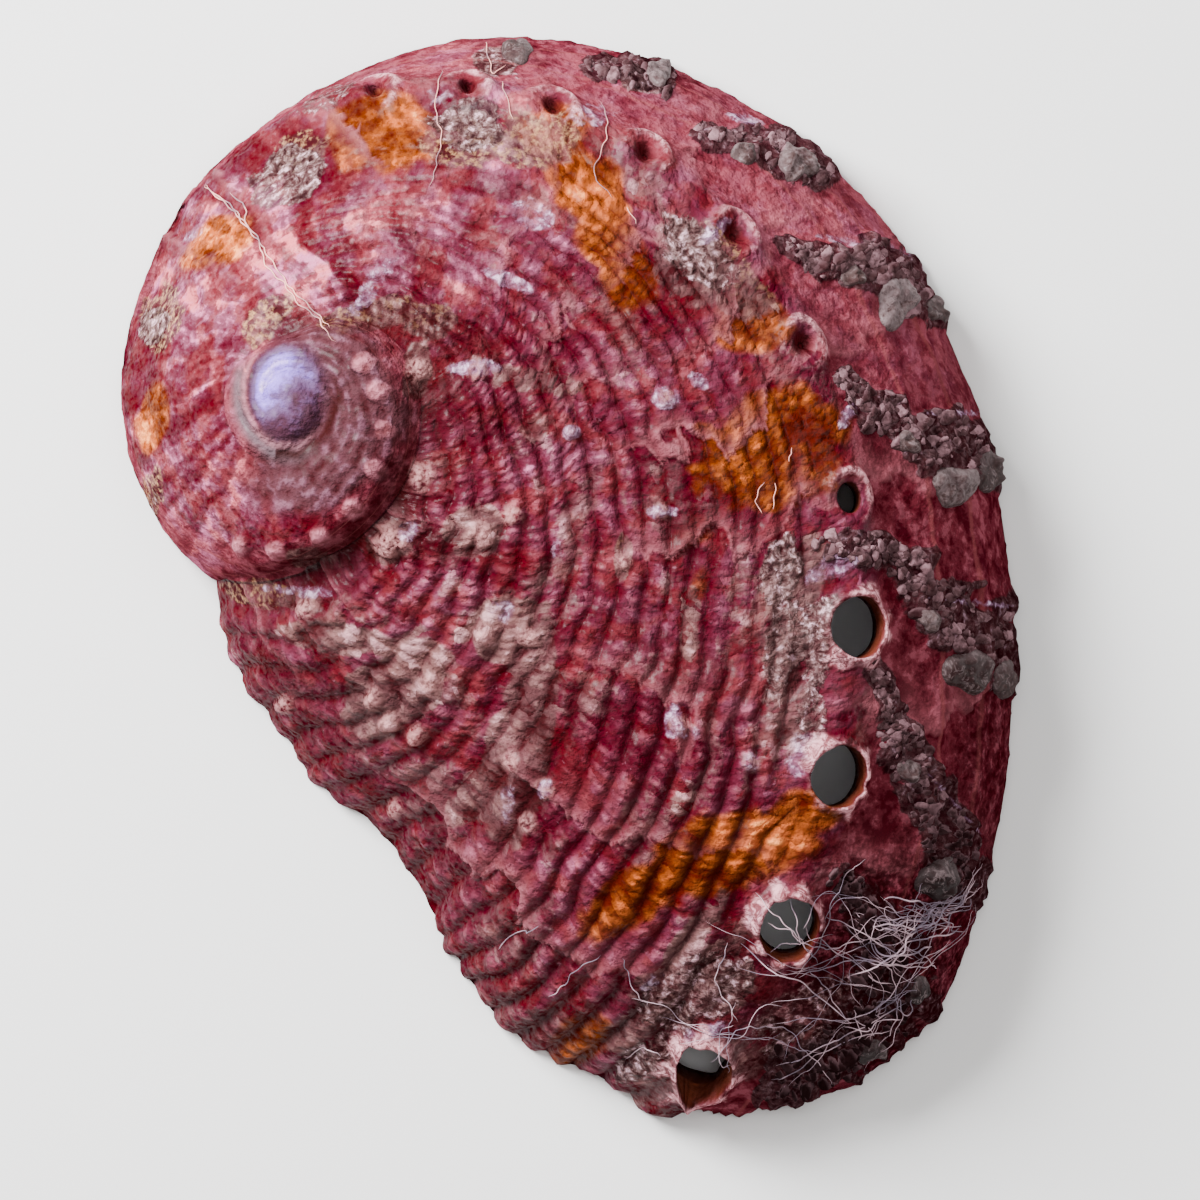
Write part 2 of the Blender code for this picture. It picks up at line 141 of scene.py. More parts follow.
# Unevenness all over: pitch and height of each grain
GRAINS = ((1.3, 0.12), (0.5, 0.09), (0.24, 0.05))
# Rims of the holes: breadth of a ragged collar, how far out a narrow rim lies and its breadth, and the
# breadth of the bare ground round both
COLLAR = 0.26
NARROW_RIM = 0.34
NARROW_RIM_WIDTH = 0.2
BARE_GROUND = 0.8

# Mesh: each block of the last whorl is (from, to, columns, rows on the back, rows on the wall)
BLOCKS = (
    (0, 0.42, 60, 40, 20), (0.42, 0.714, 110, 95, 34), (0.714, 1, 250, 172, 46),
)
SPIRE_COLUMNS = 220
SPIRE_ROWS = 44
INSIDE_COLUMNS = 260
INSIDE_RINGS = 30
RING_SIDES = 44
# Within this share of the whorl at the lip, columns crowd and the edge is scalloped, by degrees of turn
LIP_ZONE = 0.004
SCALLOP = 0.12
# Rings of the holes: shares of the room round a mouth, outside and inside, then shares of the way down
# an open bore, and shares of the mouth and depths for a closed one
MOUTH_RINGS = np.array((1.0, 0.75, 0.55, 0.39, 0.27, 0.17, 0.09, 0.0))
UNDER_RINGS = np.array((0.05, 0.3, 0.65))
BORE_RINGS = np.array((0.12, 0.35, 0.7))
FLOOR_RINGS = np.array((0.82, 0.55, 0.28))
FLOOR_DEPTHS = np.array((0.16, 0.3, 0.36))
MOUTH_ROOM = 0.7
MOUTH_DIP = 0.07
# 0 leaves the holes' bores square to the wall and 1 makes them upright
BORE_UPRIGHT = 0.85

# Patches of colour: middle x and y, half length, half width, direction in degrees, strength
ORANGE = (
    (-6.6, 15.6, 2.1, 1.35, 8, 1.1), (-12.3, 11.8, 1.35, 0.8, 28, 1), (-14.7, 5.6, 1.4, 0.5, 82, 0.9),
    (0.7, 13.6, 1.9, 1.1, -66, 0.9), (1.9, 10.9, 1.8, 1, -60, 1), (-0.5, 15.7, 1.5, 0.9, 0, 0.75),
    (6.3, 9, 1.5, 1, -20, 0.8), (7.2, 4.4, 2.5, 1.9, 10, 1.6), (4.4, 1.6, 0.9, 0.6, 40, 0.5),
    (5.6, -9.7, 3.3, 1.4, 15, 1.15), (8.3, -8.3, 1.1, 0.9, 0, 1), (2.2, -11.2, 1.9, 1, 40, 1),
    (0.4, -16.3, 1.4, 0.8, 30, 0.9), (4.6, -0.2, 0.8, 0.4, 80, 0.5),
)
CREAM = (
    (-9.4, 15.1, 1.1, 0.7, 20, 0.7), (-1.4, 15.5, 2, 1, 0, 0.7), (-3.6, 15.4, 1.4, 0.9, 0, 0.8),
    (-6.9, 9.2, 1.9, 0.5, 15, 1), (-4.8, 9, 0.9, 0.6, 0, 0.9), (-10.6, 9.1, 1.2, 0.6, 40, 0.7),
    (-5.3, 7.3, 1, 0.5, 80, 0.9), (4.6, 11, 1.7, 1.5, -40, 0.8), (6, 9.8, 1.3, 0.9, -20, 0.85),
    (7.7, -1.9, 3.2, 0.9, 86, 0.7), (4.5, -14.3, 2.2, 1.4, 25, 0.9), (-6.3, 1.2, 1, 0.7, 25, 0.95),
    (-9.2, 0.7, 1, 0.4, 0, 0.7), (-3.3, 1.6, 1, 0.9, 0, 0.95), (-10.5, -0.6, 1.9, 0.45, -12, 0.95),
    (-6, -3.8, 2.6, 1.2, 38, 0.9), (-1.6, -5.4, 4.2, 1.15, 80, 0.85), (-2.2, -1.8, 1.2, 1.2, 0, 0.95),
    (-8, -2.2, 2.4, 0.6, -8, 0.75), (-14.4, 9.1, 1.2, 0.7, 75, 0.9), (1.9, 0.7, 0.9, 0.3, 85, 0.8),
    (8.4, 0.4, 1.4, 0.8, 80, 0.7), (4.3, -1.5, 1.5, 0.4, 88, 0.6), (-14.9, 2.6, 1.5, 0.5, 75, 0.7),
    (4.4, -12.6, 1.9, 0.5, 50, 0.9), (6.2, -12.4, 0.9, 0.5, 40, 0.7), (5.8, -17, 1.6, 0.9, 10, 0.8),
    (-1.2, 6.9, 2, 0.5, -10, 0.6), (3.4, -17.8, 1.4, 0.8, 20, 0.9), (2.4, -15.9, 1.3, 0.7, 30, 0.8),
    (-3.2, -7.6, 1.8, 0.7, 45, 0.65), (4, -7.9, 1.2, 0.4, 60, 0.5), (7.9, -5, 1.2, 0.6, 80, 0.7),
)
GREY = (
    (-9.9, 14.2, 1.5, 1, 25, 0.95), (-3.4, 16, 1.4, 0.9, 10, 0.8), (4.6, 11.3, 1.5, 1, -50, 0.85),
    (-14.7, 8.9, 0.9, 0.5, 70, 0.7), (7.5, 0.4, 1.4, 0.8, 70, 0.75), (8.8, -2.4, 1.8, 0.8, 75, 0.8),
    (7.4, -2.6, 2.2, 0.6, 84, 0.6), (4.5, -14.6, 2.4, 1.2, 30, 0.85), (-2.6, 18.3, 0.9, 0.6, 0, 0.8),
    (2.4, 17.6, 1.2, 0.5, -15, 0.9), (9, -15.4, 2.6, 1.3, 20, 0.7), (-8.6, 16.9, 1.4, 0.5, 30, 0.6),
    (-14.9, 2.2, 1, 0.4, 70, 0.5), (3, -17, 1.5, 0.9, 30, 0.7), (8.6, -4.9, 1, 0.6, 80, 0.6),
)
# White patches: partly the shell's white spots and partly painted highlights on ridges
WHITE_AND_GLINTS = (
    (-1.3, 12.8, 0.9, 0.6, -30, 0.8), (-2.1, 10.4, 1.1, 0.3, -25, 0.8), (-3.3, 7.35, 1.1, 0.35, 0, 0.85),
    (0.1, 5.1, 0.4, 0.3, 0, 0.95), (-13.3, 12.1, 0.5, 0.25, 30, 0.8), (5.1, 12.1, 0.8, 0.35, 40, 0.9),
    (4.6, 6.9, 0.5, 0.3, -30, 0.8), (3.4, 6.3, 0.6, 0.4, 0, 0.8), (9.8, 5.7, 0.6, 0.25, 60, 0.9),
    (3.3, 2.3, 0.6, 0.3, 0, 0.8), (3.7, -5, 0.4, 0.7, 5, 0.85), (4.3, -5.5, 0.5, 0.3, 0, 0.7),
    (6.4, -6.5, 0.5, 0.4, 0, 0.7), (9.3, 0.3, 1.1, 0.5, 25, 0.8), (-0.4, 0.9, 0.3, 0.5, 0, 0.6),
    (-6.8, 10.5, 1, 0.3, 45, 0.7), (-0.8, -7.4, 0.4, 0.3, 60, 0.8), (8.2, -6.4, 0.9, 0.6, 60, 0.75),
    (6.6, -11.9, 0.7, 0.4, 60, 0.8), (-2.2, -7.9, 0.9, 0.35, 80, 0.6), (-9.4, -0.5, 1.4, 0.25, -5, 0.7),
    (-5.6, 1.6, 0.5, 0.4, 40, 0.8), (3, -14.2, 0.6, 0.3, 40, 0.6), (-4.7, 16.9, 0.8, 0.5, 0, 0.6),
    (0.9, 16.3, 1, 0.5, 0, 0.7), (-7.2, 9.7, 0.7, 0.3, 40, 0.8), (-2.4, -1.2, 0.6, 0.5, 0, 0.7),
    (4.7, -16.1, 1.3, 0.35, 15, 0.8), (13.6, 5.8, 1.1, 0.14, 0, 0.8), (14.3, -0.9, 1.5, 0.14, -5, 0.9),
    (9.7, 11.9, 1.1, 0.16, -10, 0.7), (6.2, 16.2, 0.9, 0.2, -12, 0.8), (13.6, -8, 1.5, 0.12, -48, 0.8),
    (11.6, 11.6, 0.8, 0.14, -25, 0.6),
)
# Rose patches: partly the shell's paler pink and partly painted light, lighter on the upper left and on the
# top right wall, which turns from the light
ROSE_AND_PAINTED_LIGHT = (
    (-13.6, 4.2, 7, 2.8, 80, 1), (-11.5, 11, 4.5, 3.4, 40, 0.9), (-4.5, 13, 5, 3.2, -5, 0.6),
    (1.5, 16.6, 5, 1.6, -10, 0.9), (6.5, 13.2, 3.6, 1.9, -45, 0.8), (10, 8.6, 3, 1.4, -60, 0.5),
    (-12.5, 1, 3, 1.4, -30, 0.5), (1, 8.6, 2.4, 1.4, -40, 0.3), (-9.3, 16.3, 2.4, 1.2, 35, 0.8),
    (0.5, 3.2, 3, 1.2, -80, 0.3), (8.5, 13.3, 6, 1.9, -45, 0.9), (12.6, 8.2, 3, 1.6, -60, 0.85),
    (-6, 17.4, 4, 1, 20, 0.7),
)
# Dark patches: partly the shell's deeper red and partly painted shade, beside the spire on its side away from
# the light, on the right wall and at the lower right
DEEP_RED_AND_SHADE = (
    (-5.9, 3.3, 3, 0.7, -62, 0.7), (-8.5, 0.9, 1.4, 0.4, 15, 0.5), (14.8, -7, 6, 1.2, 84, 0.8),
    (14.2, 6, 2.4, 1, -65, 0.4), (10.9, -13.8, 4.2, 3, 55, 1.4), (4.8, -14.8, 3, 2, 25, 1),
    (9.4, -9.4, 2.4, 1.2, 70, 0.6), (-2, 5.3, 1.3, 0.9, 0, 0.7), (-3.8, 8.3, 1.5, 0.8, -20, 0.8),
    (2.5, -3.2, 3, 1.2, 85, 0.4), (-3, -9.4, 2.5, 1.4, 45, 0.4), (0.2, 5, 1.6, 0.6, -70, 0.6),
    (5, -3.6, 1.2, 0.5, 80, 0.6), (-7.6, 13.2, 1, 0.5, 90, 0.5), (-5.2, 12.4, 1.6, 0.5, 90, 0.5),
    (6, -5.6, 1.4, 0.6, 20, 0.5), (-9.8, -3.4, 2, 0.5, -30, 0.5), (3, 8, 1.4, 0.5, -40, 0.5),
    (-7.8, 11.9, 1.5, 0.4, 85, 0.5), (-5.7, 12.1, 1.7, 0.4, 85, 0.5), (-3.4, 12.3, 1.4, 0.3, 80, 0.35),
    (-1.3, 10.6, 1.6, 0.4, 70, 0.45), (-0.1, 11.4, 1.4, 0.35, 65, 0.4),
)
# Pits: x, y, radius, depth
PITS = (
    (-0.2, 14.9, 0.25, 0.3), (-6.9, 11.6, 0.1, 0.15), (-5, 10.2, 0.13, 0.2), (-13, 9.8, 0.2, 0.25),
    (-2.7, 12.6, 0.3, 0.2), (-8.9, 16.8, 0.16, 0.2), (-9.6, 14, 0.2, 0.2), (-10.4, 14.4, 0.16, 0.2),
    (-3.3, 15.1, 0.18, 0.2), (3, 14.6, 0.1, 0.1),
)
# Scales that stand up at the folds and lumps beside the spire: x, y, radius, height
PEAKS = (
    (-9.3, -1.1, 0.5, 0.25), (-6.3, 1.2, 0.75, 0.45), (-3.1, 1.5, 0.6, 0.3), (-2, 2.2, 0.5, 0.3),
    (-2.9, -2, 0.55, 0.35), (-1.4, -2.1, 0.5, 0.4), (-6.8, -4.2, 0.45, 0.3), (-4.8, -3.8, 0.5, 0.25),
    (-6.3, -5.1, 0.4, 0.25), (-5.3, -5.5, 0.4, 0.25), (-2, -6.5, 0.45, 0.25), (-0.8, -7.4, 0.4, 0.25),
    (-1.4, -8.6, 0.4, 0.2), (-6.1, -8.2, 0.4, 0.2), (-10, -4.4, 0.4, 0.2), (1.9, 0.5, 0.35, 0.3),
    (-5.3, 7.3, 0.55, 0.35), (-5.2, 3.6, 0.6, 0.3), (3.9, -5.2, 0.45, 0.3), (0.1, 5.1, 0.3, 0.3),
    (3.4, 6.3, 0.35, 0.3), (6.4, -6.5, 0.35, 0.25), (3.3, 2.3, 0.35, 0.2), (-3.2, 7.3, 0.5, 0.25),
)
# Bands of crust from the holes to the rim: x, y and half width along each middle line
BANDS = (
    ((0.7, 17.9, 0.3), (2, 17.8, 0.55), (3.3, 17.4, 0.6)),
    ((4.5, 15.5, 0.3), (5.9, 15.4, 0.75), (7.6, 15, 0.8), (9, 14, 0.5)),
    ((7.7, 11.7, 0.35), (9.2, 11, 0.6), (10.6, 10.9, 0.85), (12.2, 10.3, 0.95), (13.6, 9.6, 0.7)),
    ((9.6, 7, 0.45), (10.5, 6, 0.65), (11.8, 5.2, 0.8), (13.4, 4.5, 1.3), (15.2, 4.2, 1.1)),
    ((9, 1, 0.5), (11, 0.9, 0.65), (12.2, 0.2, 0.7), (12.8, -1.2, 1), (14, -2, 1.35), (15.6, -2.4, 1.3)),
    ((10.6, -3.4, 0.5), (11.6, -5.4, 0.7), (12.3, -7.4, 0.9), (13.2, -9.2, 1.1), (13.6, -10.8, 1)),
    ((9.6, -10.6, 0.6), (10.9, -12.6, 1), (11.2, -14.6, 1.5), (9.8, -16.6, 1.2), (7.4, -17.9, 0.8)),
)
# Translucent knobs at the bands' lower ends: x, y, half length, half width, direction, height
KNOBS = (
    (-1.8, 18.5, 0.6, 0.42, 170, 0.3), (3.1, 17.6, 0.5, 0.36, -30, 0.26), (7.9, 14.5, 0.8, 0.5, -50, 0.3),
    (11.4, 9.6, 0.85, 0.62, -80, 0.32), (12.9, 9.4, 0.5, 0.36, -75, 0.24), (13.5, 3.2, 0.8, 0.72, -88, 0.34),
    (14.75, 3.7, 0.72, 0.4, -85, 0.26), (13.9, -3.3, 0.85, 0.74, -95, 0.34),
    (15.15, -3.6, 0.72, 0.4, -95, 0.26), (12.9, -10.6, 0.8, 0.62, -100, 0.3),
    (6.1, 14.8, 0.4, 0.32, -20, 0.24), (10.6, -16.6, 0.6, 0.44, -140, 0.26),
    (11.8, 4.7, 0.42, 0.32, -60, 0.2), (12.5, -1.5, 0.42, 0.36, -60, 0.22), (9.9, 10.5, 0.42, 0.32, -60, 0.2),
    (11.9, -6.8, 0.45, 0.34, -70, 0.2), (12.2, -14.4, 0.5, 0.4, -100, 0.22),
)
# Scales for each mm of a band, and the nearness to the rim that middles and edges of plates stay under
SCALES_PER_MM = 34
MIDDLE_LIMIT = 0.985
PLATE_LIMIT = 0.992
# Clumps of lint: middle x and y, spread along and across, direction, fibres, length, curl
CLUMPS = (
    (12.8, -11.9, 1.9, 0.2, 6, 46, 3, 0.5), (12.5, -13.3, 1.6, 0.4, 10, 8, 4.4, 0.35),
    (11, -15.3, 0.8, 0.5, 60, 8, 3, 0.8), (10.6, -13.8, 1.9, 1.5, 35, 9, 6.4, 0.25),
    (6.2, -16, 2, 0.4, -8, 6, 4.8, 0.35), (9.6, -16.4, 1.4, 0.6, 50, 7, 4.6, 0.35),
    (8.2, -13.4, 1, 0.7, -35, 5, 5.4, 0.3), (9.8, -12.6, 1.6, 0.4, -10, 6, 4.8, 0.3),
)
# Single fibres: points that each is drawn through. The first few are thicker.
STRANDS = (
    ((-12.8, 13.9), (-11.2, 12.3), (-10.2, 10.6), (-9, 9.3), (-7.9, 8.2)),
    ((-11.8, 13.5), (-11.3, 12.9), (-11.2, 12.3)), ((-12.7, 13.8), (-11.1, 12.2), (-9.6, 10.1), (-8.1, 8.6)),
    ((-4.4, 17.7), (-4.6, 16.2), (-4.5, 15.2), (-4.9, 13.6)),
    ((1.1, 16.6), (1.3, 15.2), (0.9, 14.4), (1.5, 13.2)), ((-2.3, 17.1), (-2, 16)),
    ((-2.9, 18.9), (-2.6, 17.6), (-2.2, 18)), ((2, 12.9), (2.4, 12.4)),
    ((-2.5, -13.1), (-1.7, -12.5), (-0.9, -12.1)), ((-0.6, -14.7), (0.3, -13.8), (1.1, -13.3)),
    ((1.9, -13.3), (2.3, -14.3), (2.8, -15.2)), ((2, -17.1), (2.7, -16.6), (3.5, -16.8)),
    ((6.6, -11), (7.4, -11.9), (8, -12.6), (8.4, -13.2)), ((6.9, -11.8), (7.8, -12.3), (8.7, -13.6)),
    ((7.6, -11.1), (7.9, -12.4), (9.1, -13), (10.6, -12.6), (12.4, -12.2)),
    ((5, -16.4), (6.2, -15.6), (7.6, -15.9), (9.2, -17.6)), ((8.4, -13.6), (9.6, -15.2), (10.6, -15.9)),
    ((10, -11.9), (11.4, -14.6), (10.4, -17.4)), ((5.6, -12.7), (5.2, -13.9), (5.9, -15.4)),
    ((6.8, 3.4), (6.6, 2.8), (6.8, 2.2)), ((7.3, 3.3), (7.1, 2.4)), ((7.9, 4.6), (7.7, 4)),
)
THICK_STRANDS = 3
FIBRE_RADIUS, STRAND_RADIUS, THICK_STRAND_RADIUS = 0.008, 0.017, 0.026
STRAND_CLEARANCE = 0.05
LINT_SEED = 5
# Nearness to the rim from which the tangle and the strands are bent inwards, and the most they may reach
LINT_EDGE = 0.82
STRAND_EDGE = 0.97
LINT_LIMIT = 0.99

# How bright light looks on screen, from 0 to 255, and how much of it a white surface gets on the stage
SCREEN = (0, 12, 25, 41, 67, 96, 127, 163, 201, 223, 238)
LIGHT = (0, 0.004, 0.01, 0.02, 0.045, 0.09, 0.18, 0.4, 1.0, 2.0, 4.0)
STAGE_LIGHT = 2.4
BRIGHTEST = 0.85

# The stage: place and size of each light, the sky, and the floor's width in metres. The camera looks
# straight down on a place, and its frame is this wide at the shell's mid height.
MAIN_LIGHT = ((-120, 104, 128), 104)
FILL_LIGHT = ((60, 40, 260), 220)
SKY_COLOUR = (1.0, 0.95, 0.92, 1.0)
SKY_STRENGTH = 0.45
FLOOR_WIDTH = 1.5
VIEW_CENTRE = (1.11, -0.80)
VIEW_HEIGHT = 4.0
FRAME_WIDTH = 42.36
SENSOR_WIDTH, LENS = 36.0, 1000.0


def smooth_through(points, at):
    """Cubic curve through points, as (place, value) pairs, with slopes taken from the neighbours."""
    place, value = np.array(points, float).T
    slope = np.gradient(value, place)
    at = np.clip(at, place[0], place[-1])
    k = np.clip(np.searchsorted(place, at) - 1, 0, len(place) - 2)
    width = place[k + 1] - place[k]
    u = (at - place[k]) / width
    return (
        value[k] * (1 + 2 * u) * (1 - u) ** 2
        + value[k + 1] * u * u * (3 - 2 * u)
        + width * (slope[k] * u * (1 - u) ** 2 - slope[k + 1] * u * u * (1 - u))
    )


def rising(value, start, length):
    """0 up to the start, 1 past the length from there, and even between them."""
    return np.clip((value - start) / length, 0, 1)


def step_between(low, high, value):
    """0 below low and 1 above high, with an even S between them."""
    share = rising(value, low, high - low)
    return share * share * (3 - 2 * share)


def hump(distance, width):
    return np.exp(-((distance / width) ** 2))


def apart(plan, place):
    return np.linalg.norm(plan - place, axis=-1)


def from_apex(plan):
    return np.hypot(*np.moveaxis(plan - APEX, -1, 0))


def heading(angle):
    """Unit plan vectors at angles in radians."""
    return np.stack((np.cos(angle), np.sin(angle)), -1)


def axes_at(direction):
    """Unit plan vectors along a direction in degrees and at right angles to it."""
    angle = np.radians(direction)
    return np.array((np.cos(angle), np.sin(angle))), np.array((-np.sin(angle), np.cos(angle)))


def summed(steps):
    return np.concatenate(((0,), np.cumsum(steps)))


def run_along(line):
    """Length run from the start of a line of plan points."""
    return summed(np.hypot(*np.diff(line, axis=0).T))


RANDOM_TABLE = np.random.default_rng(3).random(4096)


def mottle(places, pitch, seed=0):
    """Smooth noise from 0 to 1: table values on a lattice of that pitch, with cubic blending."""
    cell = np.asarray(places) / pitch + 512.0
    low = np.floor(cell).astype(np.int64)
    part = cell - low
    part = part * part * (3 - 2 * part)
    primes = np.array((73856093, 19349663, 83492791))[: cell.shape[-1]]
    total = np.zeros(cell.shape[:-1])
    for corner in itertools.product((0, 1), repeat=cell.shape[-1]):
        key = ((low + corner) * primes).sum(-1) + seed * 2654435
        key = (key ^ (key >> 11)) % len(RANDOM_TABLE)
        total += RANDOM_TABLE[key] * np.prod(np.where(corner, part, 1 - part), -1)
    return total


def uneven(places, seed, grains):
    """Smooth unevenness about 0, the sum of grains, each with a pitch and a height."""
    return sum(tall * (mottle(places, pitch, seed + k) - 0.5) for k, (pitch, tall) in enumerate(grains))


def mottle_over(seed, first, second):
    """Smooth noise over two values, each given in lattice steps."""
    return mottle(np.stack((first, second), -1), 1, seed)


def coil_reach(turn):
    return np.where(turn > COIL_START, smooth_through(COIL_REACH, turn), 0.0)


def across_reach(turn, across):
    """Reach from the apex at a place across the whorl."""
    suture = coil_reach(turn - FULL_TURN)
    holes = smooth_through(HOLE_ROW_REACH, turn)
    wall = 1 - (1 - np.clip(across - 1, 0, 1)) ** WALL_CURVE
    return suture + (holes - suture) * np.minimum(across, 1) + (coil_reach(turn) - holes) * wall


def on_coil(turn, across):
    """Plan position at a turn and a place across the whorl."""
    return APEX + across_reach(turn, across)[..., None] * heading(-np.radians(turn))


def off_coil(plan):
    """The turn and the place across the whorl of plan positions: the inverse of on_coil."""
    reach = from_apex(plan)
    turn = -np.degrees(np.arctan2(plan[..., 1] - APEX[1], plan[..., 0] - APEX[0]))
    turn = turn - FULL_TURN * np.ceil((turn - LIP_END) / FULL_TURN)
    for _ in range(2):
        turn = np.where(reach < coil_reach(turn - FULL_TURN), turn - FULL_TURN, turn)
    suture = coil_reach(turn - FULL_TURN)
    holes = smooth_through(HOLE_ROW_REACH, turn)
    back = (reach - suture) / np.maximum(holes - suture, 1e-3)
    wall = (reach - holes) / np.maximum(coil_reach(turn) - holes, 1e-3)
    wall = 2 - (1 - np.clip(wall, 0, 1)) ** (1 / WALL_CURVE)
    return turn, np.where(reach < holes, np.clip(back, 0, 1), wall)


def body_turn(along, across):
    """Turn at a share of the last whorl: its columns lean until they follow the lip."""
    lean = (smooth_through(LIP_TURN, across) - LIP_END) * step_between(0, LEAN_IN, along)
    return BODY_START + FULL_TURN * along + lean


def along_at(turn, across):
    """The inverse of body_turn, by repeated substitution. Older whorls come out below 0."""
    lean = smooth_through(LIP_TURN, across) - LIP_END
    along = (turn - BODY_START - lean) / FULL_TURN
    for _ in range(14):
        along = (turn - BODY_START - lean * step_between(0, LEAN_IN, along)) / FULL_TURN
    return along


ALONG_STEPS = np.linspace(0, 1, 1500)
HOLE_ROW = on_coil(body_turn(ALONG_STEPS, 1.0), 1.0)
ROW_STEPS = np.hypot(*np.diff(HOLE_ROW, axis=0).T)
ROW_LENGTH = summed(ROW_STEPS)
LIP = on_coil(smooth_through(LIP_TURN, np.linspace(2, 0, 400)), np.linspace(2, 0, 400))


def grown_length(along):
    """Length in mm grown along the row of holes, carried on at the same rate into older whorls."""
    return np.where(along < 0, OLDER_GROWTH * along, np.interp(along, ALONG_STEPS, ROW_LENGTH))


def from_crown(plan):
    """Direction from the crown in degrees, and reach."""
    away = plan - CROWN
    return np.degrees(np.arctan2(away[..., 1], away[..., 0])), np.hypot(away[..., 0], away[..., 1])


def outline_of_rim():
    """Plan outline as (direction from the crown in degrees, reach), sorted by direction."""
    rim = on_coil(np.linspace(BODY_START, RIM_END, 500), 2.0)
    direction, reach = from_crown(np.concatenate((rim, LIP[1:-1])))
    order = np.argsort(direction)
    return direction[order], reach[order]


OUTLINE_DIRECTION, OUTLINE_REACH = outline_of_rim()


def nearness_to_rim(plan):
    """0 at the crown and 1 at the rim, with the direction from the crown in degrees."""
    direction, reach = from_crown(plan)
    return reach / np.interp(direction, OUTLINE_DIRECTION, OUTLINE_REACH, period=FULL_TURN), direction


def dome(plan, on_rim):
    """Points and unit normals of the smooth dome, height = crown * (1 - nearness^full)^edge."""
    near, direction = nearness_to_rim(plan)
    near = np.where(on_rim, 1.0, np.minimum(near, DOME_LIMIT))
    full = smooth_through(DOME_FULLNESS, direction)
    edge = smooth_through(DOME_EDGE, direction)
    left = 1 - near**full
    height = CROWN_HEIGHT * left**edge
    step = 0.01
    gradient = [
        (nearness_to_rim(plan + offset)[0] - nearness_to_rim(plan - offset)[0]) / (2 * step)
        for offset in (np.array((step, 0)), np.array((0, step)))
    ]
    steep = CROWN_HEIGHT * edge * full * near ** (full - 1)
    normal = np.stack((steep * gradient[0], steep * gradient[1], left ** (1 - edge)), -1)
    normal /= np.linalg.norm(normal, axis=-1, keepdims=True)
    return np.concatenate((plan, height[..., None]), -1), normal


def spire_rise(plan):
    return SPIRE_RISE * hump(from_apex(plan), SPIRE_BREADTH)


def suture_valley(turn, from_suture, to_edge, breadth):
    """Depth of the valley along the suture, on both its sides, shallower towards the apex."""
    valley = hump(from_suture, breadth) * rising(coil_reach(turn - FULL_TURN), 1, 4)
    next_valley = hump(to_edge, 0.6 * breadth) * rising(coil_reach(turn), 1, 4)
    fade, next_fade = (rising(end - turn, 0, 25) for end in (LIP_END, BODY_START))
    return SUTURE_DEPTH * np.maximum(valley * fade, next_valley * next_fade)


def broad_relief(turn, reach):
    """What shapes the whole wall: the valley of the suture, round older whorls and the hole row."""
    from_suture = reach - coil_reach(turn - FULL_TURN)
    to_edge = coil_reach(turn) - reach
    width = np.maximum(from_suture + to_edge, 1e-6)
    older = rising(BODY_START - turn, 0, 40)
    bulge = WHORL_BULGE * older * 4 * from_suture * to_edge / width**2 * np.minimum(width / 4, 1)
    ridge = hump(reach - smooth_through(HOLE_ROW_REACH, turn), 0.35 + 0.75 * rising(turn, -120, 150))
    ridge = HOLE_RIDGE_HEIGHT * rising(turn, BODY_START, 100) * ridge
    valley = suture_valley(turn, from_suture, to_edge, 0.15 + 0.22 * np.minimum(width, 6))
    return bulge + ridge - valley, valley


def band_cover(plan):
    """1 on the middle line of a band of crust and 0 past its frayed edge, by distance to its segments."""
    fray = 0.9 * (mottle(plan, 0.8, 15) + 0.7 * mottle(plan, 0.3, 16) - 0.85)
    cover = np.zeros(plan.shape[:-1])
    for line in BANDS:
        for start, end in itertools.pairwise(np.array(line, float)):
            run = end[:2] - start[:2]
            share = np.clip(((plan - start[:2]) @ run) / (run @ run), 0, 1)
            away = apart(plan - start[:2], share[..., None] * run)
            half_width = start[2] + share * (end[2] - start[2])
            cover = np.maximum(cover, step_between(1.25, 0.75, away / half_width + fray))
    return cover


def patch_cover(plan, patches, ragged=0.45):
    """Strength of the nearest patch: 1 inside an ellipse, fading over its edge, frayed by noise."""
    fray = ragged * (mottle(plan, 0.9, 11) + 0.6 * mottle(plan, 0.35, 12) - 0.8)
    cover = np.zeros(plan.shape[:-1])
    for x, y, half_length, half_width, direction, strength in patches:
        away = plan - (x, y)
        ahead, aside = axes_at(direction)
        distance = np.hypot((away @ ahead) / half_length, (away @ aside) / half_width) + fray
        cover = np.maximum(cover, strength * step_between(1.35, 0.65, distance))
    return cover


def hole_frame(turn):
    """Plan centre of a hole of the row, and unit plan directions along the row and outwards."""
    before, centre, after = (on_coil(np.array(turn + step), 1.0) for step in (-2.0, 0.0, 2.0))
    ahead = after - before
    ahead /= np.linalg.norm(ahead)
    return centre, ahead, np.array((-ahead[1], ahead[0]))


